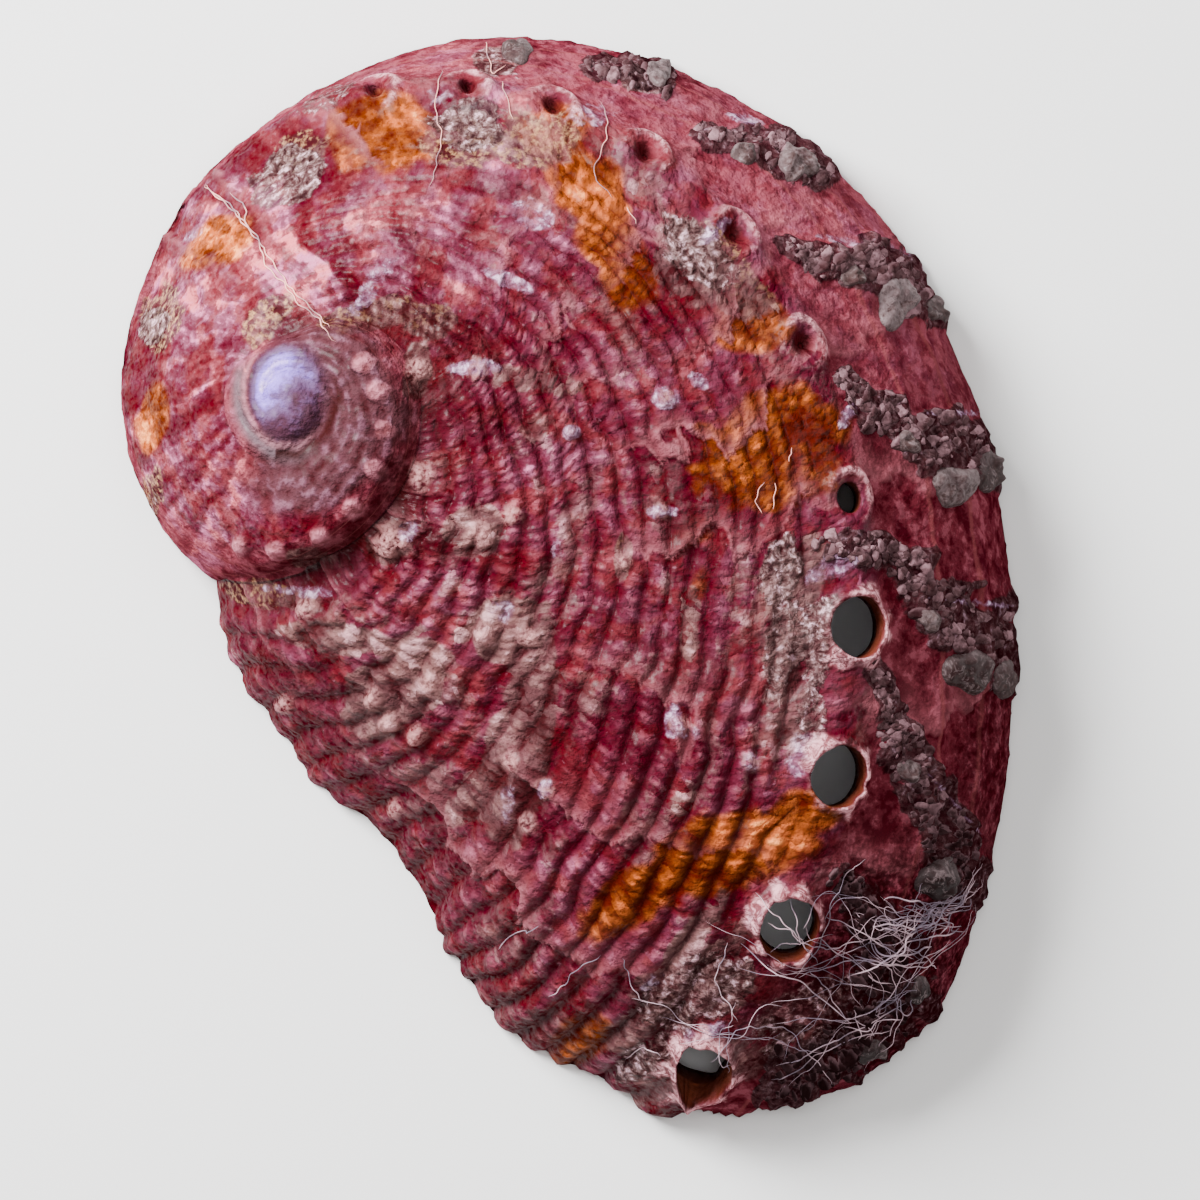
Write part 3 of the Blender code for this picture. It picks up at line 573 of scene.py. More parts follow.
def rim_relief(plan, height, pearl):
    """Raised rims round the holes, ragged round the open ones, and crescents by the closed ones."""
    for number, (turn, long_radius, short_radius, rim) in enumerate(OPEN_HOLES + CLOSED_HOLES):
        centre, ahead, side = hole_frame(turn)
        away = plan - centre
        outside = np.hypot((away @ ahead) / long_radius, (away @ side) / short_radius) - 1
        outside = outside * np.sqrt(long_radius * short_radius)
        toward = np.arctan2(away[..., 1], away[..., 0])
        if 0 < number < len(OPEN_HOLES):
            ragged = mottle(heading(toward), 0.3, 40 + number)
            collar = hump(np.maximum(outside - 0.04, 0), COLLAR) * (0.55 + 0.9 * ragged)
            shine = hump(outside - 0.06, 0.2 + 0.24 * ragged) * (0.35 + 0.9 * ragged)
            shine = shine + 0.5 * hump(outside - 0.34, 0.36) * step_between(0.45, 0.75, ragged)
        else:
            facing = 0.55 + 0.45 * np.cos(toward - np.radians(50))
            narrow = hump(outside - NARROW_RIM, NARROW_RIM_WIDTH)
            collar = narrow * (0.3 + 0.7 * facing)
            shine = 0.85 * narrow * (0.25 + 0.75 * facing)
        near = hump(np.maximum(outside, 0), BARE_GROUND)
        height = height * (1 - 0.85 * near) + rim * collar
        pearl = np.maximum(pearl, shine)
    return height, pearl


def rib_beads(phase, length):
    """Beads along the ribs: |sin| humps one after another, each rib and each bead with its own size."""
    rib = np.floor(phase).astype(int)
    pace = np.clip(0.3 + 0.7 * (rib + 0.5) / RIBS, 0.25, 1.0)
    place = length * pace / BEAD_PITCH + 7.3 * RANDOM_TABLE[rib % 97]
    size = RANDOM_TABLE[(np.floor(place).astype(int) * 31 + rib * 101) % len(RANDOM_TABLE)]
    return np.sin(np.pi * (place % 1)) ** 0.8 * (0.3 + 0.7 * size), mottle_over(17, place / 5, rib * 5.3)


def rib_strength(turn, across, along, length, width):
    """How tall the ribs stand: rising with growth and width, lower by the holes, except near the lip."""
    strength = rising(turn - BODY_START, 30, 120) * np.minimum(width / 16, 1)
    strength = strength * (0.6 + 0.4 * step_between(18, 34, length))
    by_suture, by_holes = step_between(0.15, 0.5, across), step_between(0.42, 0.68, across)
    strength = strength * (1.15 - 0.15 * by_suture - 0.42 * by_holes)
    near_lip = step_between(0.87, 0.93, along)
    return strength * (1 + near_lip * (1.6 * step_between(0.45, 0.7, across) - 0.1))


def growth_folds(growth, across, lead, sway, crest, body, width):
    """Folds and fine lamellae: each rises slowly and drops sharply as the shell grows.

    Returns their height, the share of the way to the next fold, and how strong the folds are.
    """
    lines = np.array(FOLDS) * FOLD_SPACING
    following = np.clip(np.searchsorted(lines, lead), 1, len(lines) - 1)
    share = rising(lead, lines[following - 1], lines[following] - lines[following - 1])
    patchy = mottle_over(5, growth / 30, across * 5)
    strength = rising(growth, lines[0], 120) * (1 - 0.5 * np.clip(across, 0, 1))
    strength = strength * (0.15 + 1.9 * patchy**2) * (0.2 + 0.8 * step_between(0.2, 0.6, across))
    small = ((lead + 0.7 * sway) / FINE_LAMELLA) % 1
    lamellae = LAMELLA_HEIGHT * body * (0.35 + 0.65 * crest) * (small**1.5 - 0.4) * np.minimum(width / 14, 1)
    return FOLD_HEIGHT * strength * (share**1.6 - 0.4) + lamellae, share, strength


def spire_beads(plan):
    """Round beads on the spire, flatter on their outer side."""
    bead = np.zeros(plan.shape[:-1])
    for place in BEADS:
        outward = (plan - place) @ (place - APEX) / np.linalg.norm(place - APEX)
        away = apart(plan, place) * (1.05 - 0.25 * np.clip(outward / 0.5, -1, 1))
        away = away * (0.85 + 0.3 * mottle(plan, 0.3, 14))
        bead = np.maximum(bead, np.clip(1 - (away / SPIRE_BEAD_RADIUS) ** 2, 0, 1) ** 0.8)
    return bead


def spire_dome(plan):
    """The smooth first whorls: half an ellipsoid with a groove and a ring round it at the lower left."""
    from_dome = np.linalg.norm((plan - DOME_MIDDLE) / DOME_SIZE, axis=-1)
    low_left = step_between(0.9, -0.6, (plan - DOME_MIDDLE) @ (0.7, 0.7))
    ring = 0.06 * hump(from_dome - 1.32, 0.14) - 0.1 * hump(from_dome - 1.1, 0.13)
    return (0.3 + 0.7 * low_left) * ring + SPIRE_DOME_HEIGHT * np.sqrt(np.clip(1 - from_dome**2, 0, 1))


def lumps_and_pits(plan):
    """Where peaks stand, how tall they are, and how deep the pits are."""
    peak, lump, pit = np.zeros((3, *plan.shape[:-1]))
    for x, y, radius, tall in PEAKS:
        away = apart(plan, (x, y)) * (0.8 + 0.5 * mottle(plan, 0.3, 13))
        form = np.clip(1 - (away / radius) ** 2, 0, 1)
        peak = np.maximum(peak, form)
        lump = np.maximum(lump, tall * form)
    for x, y, radius, deep in PITS:
        pit = np.maximum(pit, deep * hump(apart(plan, (x, y)), radius))
    return peak, lump, pit


def skin(turn, across, along, on_rim=False):
    """The outer surface: the smooth dome moved along its normals by every relief.

    Ribs run along the whorl as |sin| of a wandering phase. Folds, lumps, pits, peaks, beads and hole
    rims are added to them. It returns points and the values that the finish is painted by.
    """
    sizes = bpy.context.scene.shell_sizes
    plan = on_coil(turn, across)
    reach = across_reach(turn, across)
    points, normals = dome(plan, on_rim)
    broad, valley = broad_relief(turn, reach)
    length = grown_length(along)
    growth = FULL_TURN * (along - 1)
    width = coil_reach(turn) - coil_reach(turn - FULL_TURN)
    body = rising(along, 0.02, 0.05)

    wander = mottle_over(1, length / 6, across * 5) - 0.5
    wander = 0.9 * wander + 0.5 * (mottle_over(2, length / 1.8, across * 9) - 0.5)
    emerging = NEW_RIBS * np.clip((turn + 30) / 80, 0, 1.2)
    phase = RIBS * across - emerging * (1 - np.clip(across, 0, 1)) + wander
    crest = np.abs(np.sin(np.pi * phase)) ** 0.55
    beads, swell = rib_beads(phase, length)
    rib_size = 0.7 + 0.3 * RANDOM_TABLE[np.floor(phase).astype(int) % 97] + 0.5 * swell
    strength = rib_strength(turn, across, along, length, width)
    on_back = np.clip((1 - across) * 11, 0, 1) * np.clip(across * 16, 0, 1)
    beads = beads * crest**3 * strength * on_back * step_between(0.4, 0.5, along)
    ribs = strength * on_back * (crest * rib_size - 0.65) * sizes.rib_height / MM
    ribs = ribs + beads * sizes.bead_height / MM

    sway = 6 * (mottle_over(3, growth / 16, across * 4) - 0.5)
    sway = sway + 2.5 * (mottle_over(4, growth / 5, across * 12) - 0.5)
    rib_lead = 5 * (mottle_over(19, growth / 5, phase) - 0.5)
    lead = growth + sway + (1.2 * crest + rib_lead) * on_back
    folds, share, fold_strength = growth_folds(growth, across, lead, sway, crest, body, width)
    band = lead / FOLD_SPACING
    number = np.floor(band).astype(int)
    into_next = step_between(0.8, 1.0, band - number)
    band = RANDOM_TABLE[number % 211] * (1 - into_next) + RANDOM_TABLE[(number + 1) % 211] * into_next

    keel = sum(tall * hump(across - at, 0.05) for at, tall in WALL_KEELS) * rising(turn, -70, 60)
    on_wall = np.clip((across - 1) * 5, 0, 1)
    threads = THREAD_HEIGHT * on_wall * np.abs(np.sin(np.pi * THREADS * across)) * body
    older = (turn < BODY_START) * np.minimum(coil_reach(turn) / 3, 1)
    whorl_lines = older * np.abs(np.sin(np.pi * (4 * across + 0.6 * mottle(plan, 1.1, 18)))) ** 2
    threads = threads + THREAD_HEIGHT * whorl_lines

    crust = band_cover(plan)
    crumbs = 0.36 * mottle(points, 0.5, 9) + 0.2 * mottle(points, 0.24, 10) - 0.1
    rough = uneven(points, 6, GRAINS) + crust * crumbs
    rough = rough * (1 - 0.6 * step_between(4.0, 1.2, from_apex(plan)))
    bead = spire_beads(plan)
    peak, lump, pit = lumps_and_pits(plan)
    fine = ribs + folds + keel + threads + rough + SPIRE_BEAD_HEIGHT * bead + lump + spire_dome(plan) - pit
    fine, pearl = rim_relief(plan, fine, np.zeros(plan.shape[:-1]))
    height = (spire_rise(plan) + broad + fine) * np.where(on_rim, 0.0, 1.0)
    values = {
        "grown": length,
        "rib": phase,
        "crest": 0.6 + (crest - 0.6) * np.clip(1.4 * (strength * on_back), 0, 1),
        "fold": share**9 * np.clip(2.5 * fold_strength, 0, 1),
        "shade": np.clip(valley * 1.1 + 2.5 * pit, 0, 1),
        "pearl": pearl,
        "peak": peak,
        "bead": bead,
        "nodule": beads,
        "band": band,
        "keel": keel / WALL_KEELS[1][1] + whorl_lines,
        "crust": crust,
        "margin": np.ones(plan.shape[:-1]),
    }
    return points + height[..., None] * normals, values


def skin_over(plan):
    """The outer surface over any plan positions."""
    turn, across = off_coil(plan)
    return skin(turn, across, along_at(turn, across))


def inside(plan, on_rim):
    """The inner surface: the dome moved inwards by the wall, with a soft echo of ribs and whorls."""
    near = np.where(on_rim, 1.0, np.minimum(nearness_to_rim(plan)[0], 1.0))
    points, normals = dome(plan, on_rim)
    turn, across = off_coil(plan)
    reach = from_apex(plan)
    thick = WALL_THICKNESS + SPIRE_EXTRA_THICKNESS * spire_rise(plan) / SPIRE_RISE
    shelf = LIP_WIDTH + SHELF_WIDTH * rising(turn, -240, 150) * rising(RIM_END - turn, 0, 30)
    thick = thick + (shelf - thick) * near**12
    from_suture, to_edge = reach - coil_reach(turn - FULL_TURN), coil_reach(turn) - reach
    relief = spire_rise(plan) - suture_valley(turn, from_suture, to_edge, INSIDE_FOLD_BREADTH)
    waves = 0.05 * np.sin(TAU * RIBS * across) * rising(turn, -150, 150) * (across < 1)
    waves = waves + 0.12 * (mottle(plan, 2.3, 21) - 0.5) + 0.05 * (mottle(plan, 0.8, 22) - 0.5)
    sunk = (relief + waves) * (1 - near**12) - thick
    return np.maximum(points + sunk[..., None] * normals, (-np.inf, -np.inf, 0.0))


def spire_values(plan):
    """Where the colours of the spire lie: its violet dome and mauve whorl, lit and shaded sides."""
    fray = uneven(plan, 31, ((0.5, 0.25), (0.2, 0.12)))
    away = (plan - DOME_VIEW) / DOME_SIZE
    from_dome = np.linalg.norm(away, axis=-1)
    side = (away @ (-0.6, 0.8)) / np.maximum(from_dome, 0.2)
    low_left = (away @ (-0.7, -0.7)) / np.maximum(from_dome, 0.2)
    upper_right = step_between(0.2, -0.6, low_left)
    turn = -np.degrees(np.arctan2(plan[:, 1] - APEX[1], plan[:, 0] - APEX[0]))
    right = step_between(-150, -60, turn) * step_between(150, 90, turn)
    whorl = np.interp(turn, (-150, -60, 0, 60, 120), (2.4, 3.4, 4.3, 3.9, 3.6))
    # Painted shade: a dark groove round the dome on its side away from the light
    shaded_gully = hump(from_dome - 1.22 + 0.3 * fray, 0.13) * step_between(-0.2, -0.7, side)
    return {
        "violet": step_between(1.08 + 0.12 * upper_right, 0.92 - 0.2 * upper_right, from_dome + 0.4 * fray),
        # Painted light: the dome is lighter on its upper left, towards the light
        "lit_dome_side": step_between(-0.7, 0.8, away @ (-0.6, 0.8) + 2 * fray) * step_between(1.0, 0.6, from_dome),
        "suture": hump(from_dome - 1.06 + 0.3 * fray, 0.05) * step_between(-0.3, 0.4, low_left),
        "moss": hump(from_dome - 1.22 + 0.2 * fray, 0.16) * step_between(0.0, 0.6, low_left),
        "shaded_gully": shaded_gully * (away[:, 0] > -0.3),
        "mauve": step_between(0.5, -0.5, apart(plan, APEX) - whorl + 2 * fray) * right,
    }


def looped(lines):
    """The lines with the first one again at the end, so that they close on themselves."""
    return np.concatenate((lines, lines[:1]))


class Surface:
    """Gathers the points, named values and faces of one closed surface."""

    def __init__(self):
        self.points = []
        self.plans = []
        self.values = []
        self.faces = []
        self.finishes = []
        self.count = 0

    def add(self, points, plan, values=None):
        """Adds a grid of points, made from plan positions, and returns their numbers in that shape."""
        shape = points.shape[:-1]
        ids = self.count + np.arange(np.prod(shape, dtype=int)).reshape(shape)
        self.count += ids.size
        self.points.append(points.reshape(-1, 3))
        self.plans.append(np.broadcast_to(plan, (*shape, 2)).reshape(-1, 2))
        flat = {name: np.broadcast_to(value, shape).ravel() for name, value in (values or {}).items()}
        self.values.append((ids.size, flat))
        return ids

    def face(self, faces, finish):
        self.faces += faces.tolist()
        self.finishes += [finish] * len(faces)

    def strip(self, ids, finish, keep=None):
        """Quads between the lines of a grid of points, apart from those that keep leaves out."""
        quads = np.stack((ids[:-1, :-1], ids[1:, :-1], ids[1:, 1:], ids[:-1, 1:]), -1)
        self.face(quads.reshape(-1, 4) if keep is None else quads[keep], finish)

    def fan(self, first, second, point, finish):
        """Triangles from the steps of a line to one point."""
        self.face(np.stack((first, second, np.full(len(first), point)), -1), finish)

    def zip(self, first, first_at, second, second_at, finish):
        """Triangles between two lines that run side by side, by the places of their points."""
        over = np.searchsorted(second_at[1:], first_at[1:], side="left")
        under = np.searchsorted(first_at[1:], second_at[1:], side="right")
        self.face(np.stack((first[:-1], first[1:], second[over]), -1), finish)
        self.face(np.stack((first[under], second[1:], second[:-1]), -1), finish)

    def zip_loops(self, first, second, centre, finish):
        """Triangles between two closed loops round a centre, by their directions from it."""
        plans = np.concatenate(self.plans)
        lines = []
        for loop in (first, second):
            away = plans[loop] - centre
            angle = np.arctan2(away[:, 1], away[:, 0])
            if np.unwrap(np.append(angle, angle[0]))[-1] < angle[0]:
                loop, angle = loop[::-1], angle[::-1]
            start = angle.argmin()
            angle = np.maximum.accumulate(np.unwrap(np.roll(angle, -start)))
            lines += [np.append(np.roll(loop, -start), loop[start]), np.append(angle, angle[0] + TAU)]
        self.zip(*lines, finish)

    def value(self, name):
        return np.concatenate([flat.get(name, np.zeros(count)) for count, flat in self.values])


def ring_plan(hole, outside):
    """Ovals round a hole's mouth, one for each distance outside it, as (sides, rings)."""
    turn, long_radius, short_radius, _ = hole
    centre, ahead, side = hole_frame(turn)
    angle = np.linspace(0, TAU, RING_SIDES, endpoint=False)[:, None]
    long_way = ((long_radius + outside) * np.cos(angle))[..., None] * ahead
    return centre + long_way + ((short_radius + outside) * np.sin(angle))[..., None] * side


def build_skin(made):
    """The last whorl in blocks of columns and rows, and the spire as a disc inside its suture."""
    rim, suture, suture_turn, grids = [], [], [], []
    paced = summed(ROW_STEPS * (1 + 4 * np.exp(-(1 - ALONG_STEPS[1:]) / LIP_ZONE)))
    before = None
    for start, end, columns, back_rows, wall_rows in BLOCKS:
        ends = np.interp((start, end), ALONG_STEPS, paced)
        along = np.interp(np.linspace(*ends, columns + 1), paced, ALONG_STEPS)
        along = along[1 if before else 0 :, None]
        row = np.concatenate((np.linspace(0, 1, back_rows + 1), np.linspace(1, 2, wall_rows + 1)[1:]))
        along, across = np.broadcast_arrays(along, row)
        scallop = SCALLOP * np.cos(TAU * (RIBS * across + 0.5)) * np.exp(-(1 - along) / LIP_ZONE)
        scallop = scallop * step_between(0.02, 0.1, across) * step_between(1.9, 1.5, across)
        turn = body_turn(along, across) + scallop
        points, values = skin(turn, across, along, (across == 2) | (along >= 1))
        plan = on_coil(turn, across)
        ids = made.add(points, plan, values)
        if before:
            made.zip(ids[0], row, *before, 0)
        if end == 1:
            ids[-1, 0] = rim[0][0]
        before = (ids[-1], row)
        grids.append((ids, plan, np.ones((ids.shape[0] - 1, ids.shape[1] - 1), bool)))
        rim.append(ids[:, -1])
        suture.append(ids[:, 0])
        suture_turn.append(BODY_START + FULL_TURN * along[:, 0])
    turn = np.linspace(BODY_START, LIP_END, SPIRE_COLUMNS, endpoint=False)[:, None]
    reach = coil_reach(turn - FULL_TURN) * np.arange(1, SPIRE_ROWS + 1) / (SPIRE_ROWS + 1)
    plan = APEX + reach[..., None] * heading(-np.radians(turn))
    points, values = skin_over(plan)
    disc = made.add(points, plan, values)
    made.strip(disc, 0)
    made.zip(disc[:, -1], turn[:, 0], np.concatenate(suture), np.concatenate(suture_turn), 0)
    first_ids, first_plan, _ = grids[0]
    seam = np.concatenate((disc[0], first_ids[0]))
    made.zip(seam, np.concatenate((reach[0], apart(first_plan[0], APEX))), disc[-1], reach[-1], 0)
    points, values = skin_over(APEX[None])
    around = looped(disc[:, 0])
    made.fan(around[1:], around[:-1], made.add(points, APEX, values)[0], 0)
    return grids, np.concatenate((*rim, grids[-1][0][-1, -2:0:-1]))


def build_inside(made, loop):
    """The inside, in rings from the rim's loop to a point under the crown."""
    edge = looped(np.concatenate(made.plans)[loop])
    place = run_along(edge)
    even = np.linspace(0, place[-1], INSIDE_COLUMNS + 1)
    edge = np.stack([np.interp(even[:-1], place, edge[:, axis]) for axis in (0, 1)], -1)[:, None]
    near = np.cos(np.linspace(0, np.pi / 2, INSIDE_RINGS + 1))[:-1]
    plan = CROWN + (edge - CROWN) * near[:, None]
    points = inside(plan, np.broadcast_to(near == 1, plan.shape[:-1]))
    ids = made.add(points, plan, {"margin": step_between(0.9, 1.0, near)})
    made.zip(np.append(loop, loop[0]), place, looped(ids[:, 0]), even, 1)
    pole = made.add(np.array([(*CROWN, CROWN_HEIGHT - WALL_THICKNESS)]), CROWN)[0]
    ids = looped(ids)
    made.fan(ids[:-1, -1], ids[1:, -1], pole, 1)
    return ids, looped(plan), np.ones((INSIDE_COLUMNS, INSIDE_RINGS - 1), bool)


def cut_window(grid, centre, reach):
    """Leaves out the grid's faces round a centre and returns the border of the gap."""
    ids, plan, keep = grid
    near = apart(plan, centre) < reach
    columns, rows = np.flatnonzero(near.any(1)), np.flatnonzero(near.any(0))
    a, b, c, d = columns[0] - 1, columns[-1] + 1, rows[0] - 1, rows[-1] + 1
    keep[a:b, c:d] = False
    return np.concatenate((ids[a:b, c], ids[b, c:d], ids[b:a:-1, d], ids[a, d:c:-1]))


def grid_of(grids, hole):
    """The block of the last whorl in which a hole lies."""
    along = along_at(np.array(hole[0], float), np.array(1.0))
    return next(grid for grid, block in zip(grids, BLOCKS) if along < block[1])


def build_holes(made, grids, inner):
    """Open holes as rings from the outer skin through the wall, closed ones as rings to a floor."""
    for number, hole in enumerate(OPEN_HOLES + CLOSED_HOLES):
        is_open = number < len(OPEN_HOLES)
        centre, long_radius = hole_frame(hole[0])[0], hole[1]
        room = min(MOUTH_ROOM, 0.6 * (apart(LIP, centre).min() - long_radius))
        gap = cut_window(grid_of(grids, hole), centre, long_radius + 1.12 * room)
        plan = ring_plan(hole, room * MOUTH_RINGS)
        points, values = skin_over(plan)
        mouth = points[:, -1:]
        if is_open:
            under_plan = ring_plan(hole, room * UNDER_RINGS)
            leaning = (inside(under_plan, False)[..., :2] - under_plan).mean((0, 1))
            leaning = leaning * BORE_UPRIGHT * (room / MOUTH_ROOM) ** 2
            under_plan = under_plan - leaning
            under = inside(under_plan, False)
            bore = mouth + BORE_RINGS[:, None] * (under[:, :1] - mouth)
        else:
            flat = centre + (mouth[..., :2] - centre) * FLOOR_RINGS[:, None]
            bore = np.concatenate((flat, mouth[..., 2:] - FLOOR_DEPTHS[:, None]), -1)
        points = points - MOUTH_DIP * (MOUTH_RINGS == 0)[:, None] * (0.0, 0.0, 1.0)
        rings = np.concatenate((points, bore), 1)
        down = np.concatenate((np.zeros(len(MOUTH_RINGS)), (0.5, 0.9, 1.0)))
        values = {
            name: np.concatenate((value, np.repeat(value[:, -1:], 3, 1)), 1) for name, value in values.items()
        }
        values |= {"pearl": values["pearl"] * (1 - down), "bore": down}
        ids = made.add(rings, np.concatenate((plan, bore[..., :2]), 1), values)
        made.zip_loops(gap, ids[:, 0], centre, 0)
        ids = looped(ids)
        made.strip(ids, 0)
        if is_open:
            low = made.add(under, under_plan)
            under_gap = cut_window(inner, centre - leaning, long_radius + room)
            made.zip_loops(low[:, -1], under_gap, centre - leaning, 1)
            low = looped(low)
            made.strip(np.stack((ids[:, -1], low[:, 0]), -1), 0)
            made.strip(low, 1)
        else:
            floor = bore[:, -1:].mean(0) - (0.0, 0.0, 0.03)
            made.fan(ids[:-1, -1], ids[1:, -1], made.add(floor, centre, {"bore": np.ones(1)})[0], 0)


def shell_surface():
    """The whole shell as one closed surface: outside, rims and bores of the holes, lip and inside."""
    made = Surface()
    grids, loop = build_skin(made)
    inner = build_inside(made, loop)
    build_holes(made, grids, inner)
    for ids, _, keep in grids:
        made.strip(ids, 0, keep)
    made.strip(inner[0], 1, inner[2])
    return made


def without_loose(points, faces, *others):
    """Leaves out the points that no face uses, from the points and from other lists beside them."""
    used, renumbered = np.unique(np.fromiter(itertools.chain.from_iterable(faces), int), return_inverse=True)
    ends = np.cumsum([len(face) for face in faces])
    renumbered = renumbered.tolist()
    faces = [renumbered[end - len(face) : end] for face, end in zip(faces, ends.tolist())]
    return points[used], faces, *(other[used] for other in others)


def make_object(name, points, faces, materials, values, finishes=None, uv=None):
    """A smooth mesh at the origin, in metres, with its values as attributes of its points."""
    mesh = bpy.data.meshes.new(name)
    mesh.from_pydata((points * MM).tolist(), [], faces)
    for material in materials:
        mesh.materials.append(material)
    if finishes:
        mesh.polygons.foreach_set("material_index", np.array(finishes, np.int32))
    mesh.polygons.foreach_set("use_smooth", np.ones(len(mesh.polygons), bool))
    for key, value in values.items():
        mesh.attributes.new(key, "FLOAT", "POINT").data.foreach_set("value", value.astype(np.float32))
    if uv is not None:
        corner = np.zeros(len(mesh.loops), np.int32)
        mesh.loops.foreach_get("vertex_index", corner)
        mesh.uv_layers.new(name="grown").data.foreach_set("uv", uv[corner].astype(np.float32).ravel())
    mesh.update()
    made = bpy.data.objects.new(name, mesh)
    bpy.context.scene.collection.objects.link(made)
    return made


def tube_quads(ids):
    """Quads between the closed rings of many pieces, whose points are numbered (piece, ring, side)."""
    around = np.concatenate((ids, ids[..., :1]), -1)
    low, high = around[:, :-1], around[:, 1:]
    return np.stack((low[..., :-1], high[..., :-1], high[..., 1:], low[..., 1:]), -1).reshape(-1, 4)


def plates(middles, directions, lengths, widths, heights, tilt, sunk, rings, sides, seed):
    """Many small rounded plates lying on the shell, all at once.

    Each plate is a dome of rings: height * (1 - share^4)^0.6 above the skin, rising towards its
    lower end by the tilt, with a wavy outline and its rim and flat bottom sunk into the skin.
    """
    count = len(middles)
    chance = np.random.default_rng(seed)
    share = np.concatenate((np.linspace(0, 1, rings + 1), (0.9,)))
    angle = np.linspace(0, TAU, sides, endpoint=False)
    waves = chance.random((count, 3, 1)) * TAU
    wavy = 1 + 0.12 * np.sin(2 * angle + waves[:, 0]) + 0.12 * np.sin(3 * angle + waves[:, 1])
    wavy = wavy + 0.05 * np.sin(5 * angle + waves[:, 2])
    lengthwise = (np.cos(angle) * wavy)[:, None] * share[None, :, None]
    crosswise = (np.sin(angle) * wavy)[:, None] * share[None, :, None]
    lengths, widths, heights = (size[:, None, None] for size in (lengths, widths, heights))
    turned = np.radians(directions)[:, None, None]
    x, y = lengthwise * lengths, crosswise * widths
    plan = np.stack((x * np.cos(turned) - y * np.sin(turned), x * np.sin(turned) + y * np.cos(turned)), -1)
    plan = plan + middles[:, None, None]
    near, _ = nearness_to_rim(plan)
    plan = CROWN + (plan - CROWN) * np.minimum(PLATE_LIMIT / near, 1)[..., None]
    points, _ = skin_over(plan)
    _, normals = dome(plan, False)
    grain = uneven(points, seed, ((0.16, 0.3), (0.45, 0.5)))
    form = (1 - share**4)[None, :, None] ** 0.6
    height = heights * (form * (1 + tilt * lengthwise + grain) - sunk)
    height[:, -1:] = -0.35 * heights
    points = points + height[..., None] * normals
    ids = np.arange(points[..., 0].size).reshape(points.shape[:-1])
    ids[:, 0] = ids[:, 0, :1]
    bottom = ids[:, -1, ::-1].tolist()
    faces = [list(dict.fromkeys(face)) for face in tube_quads(ids).tolist()] + bottom
    rise = np.broadcast_to(form * (0.5 + 0.5 * lengthwise), height.shape)
    tone = np.broadcast_to(chance.random((count, 1, 1)), height.shape)
    return points.reshape(-1, 3), faces, {"rise": rise.ravel(), "tone": tone.ravel()}


def crust_scales():
    """Small plates scattered over the bands of crust, denser towards their middle lines."""
    chance = np.random.default_rng(7)
    middles = []
    for line in BANDS:
        line = np.array(line)
        run = run_along(line[:, :2])
        count = int(SCALES_PER_MM * run[-1] * line[:, 2].mean())
        place = chance.random(count) * run[-1]
        x, y, half_width = (np.interp(place, run, line[:, axis]) for axis in range(3))
        middles.append(np.stack((x, y), -1) + chance.normal(0, 0.5, (count, 2)) * half_width[:, None])
    middles = np.concatenate(middles)
    near, _ = nearness_to_rim(middles)
    middles = middles[(near < MIDDLE_LIMIT) & (band_cover(middles) > 0.4)]
    count = len(middles)
    outward = middles - APEX
    directions = np.degrees(np.arctan2(outward[:, 1], outward[:, 0])) - 90 + chance.normal(0, 35, count)
    size = 0.1 + 0.2 * chance.random(count) ** 1.7
    widths = size * (0.55 + 0.45 * chance.random(count))
    heights = (0.15 + 0.35 * chance.random(count)) * size
    return plates(middles, directions, size, widths, heights, 0.5, 0.35, rings=3, sides=9, seed=8)


def crust_knobs():
    """The large translucent knobs, as plates with more rings and a steep lower end."""
    x, y, lengths, widths, directions, heights = np.array(KNOBS).T
    middles = np.stack((x, y), -1)
    return plates(middles, directions, lengths, widths, heights, 0.3, 0.15, rings=9, sides=36, seed=9)


def fibre_tubes(paths, radius, sides):
    """Round tubes along many paths at once, narrowing to closed ends.

    The rings stand at right angles to the path, in a frame made from its direction and the vertical.
    """
    count, steps = paths.shape[:2]
    forward = np.gradient(paths, axis=1)
    forward /= np.linalg.norm(forward, axis=-1, keepdims=True)
    side = np.cross(forward, (0.0, 0.0, 1.0))
    side /= np.linalg.norm(side, axis=-1, keepdims=True)
    up = np.cross(side, forward)
    angle = np.linspace(0, TAU, sides, endpoint=False)
    taper = np.minimum(1, 8 * np.minimum(np.linspace(0, 1, steps), np.linspace(1, 0, steps)) + 0.15)
    thick = (radius[:, None] * taper)[..., None, None]
    ring = np.cos(angle)[:, None] * side[:, :, None] + np.sin(angle)[:, None] * up[:, :, None]
    ids = np.arange(count * steps * sides).reshape(count, steps, sides)
    faces = tube_quads(ids)[:, (0, 3, 2, 1)].tolist() + ids[:, 0, ::-1].tolist() + ids[:, -1].tolist()
    return (paths[:, :, None] + thick * ring).reshape(-1, 3), faces, {}


def over_shell(plan, clearance, edge):
    """Fibre points over plan positions, clear of the smoothed skin.

    Past the edge, a nearness to the rim, they bend inwards by tanh, so that they stay on the shell.
    """
    near, _ = nearness_to_rim(plan)
    room = LINT_LIMIT - edge
    held = edge + room * np.tanh(np.maximum(near - edge, 0) / room)
    plan = CROWN + (plan - CROWN) * np.where(near > edge, held / near, 1)[..., None]
    points, _ = skin_over(plan)
    smooth, normals = dome(plan, False)
    lift = ((points - smooth) * normals).sum(-1)
    span = 7
    padded = np.pad(lift, ((0, 0), (span // 2, span // 2)), mode="edge")
    spans = np.stack([padded[:, k : k + lift.shape[1]] for k in range(span)], -1)
    lift = np.maximum(spans.mean(-1) + 0.3 * (spans.max(-1) - spans.mean(-1)), lift)
    return smooth + (lift + clearance)[..., None] * normals


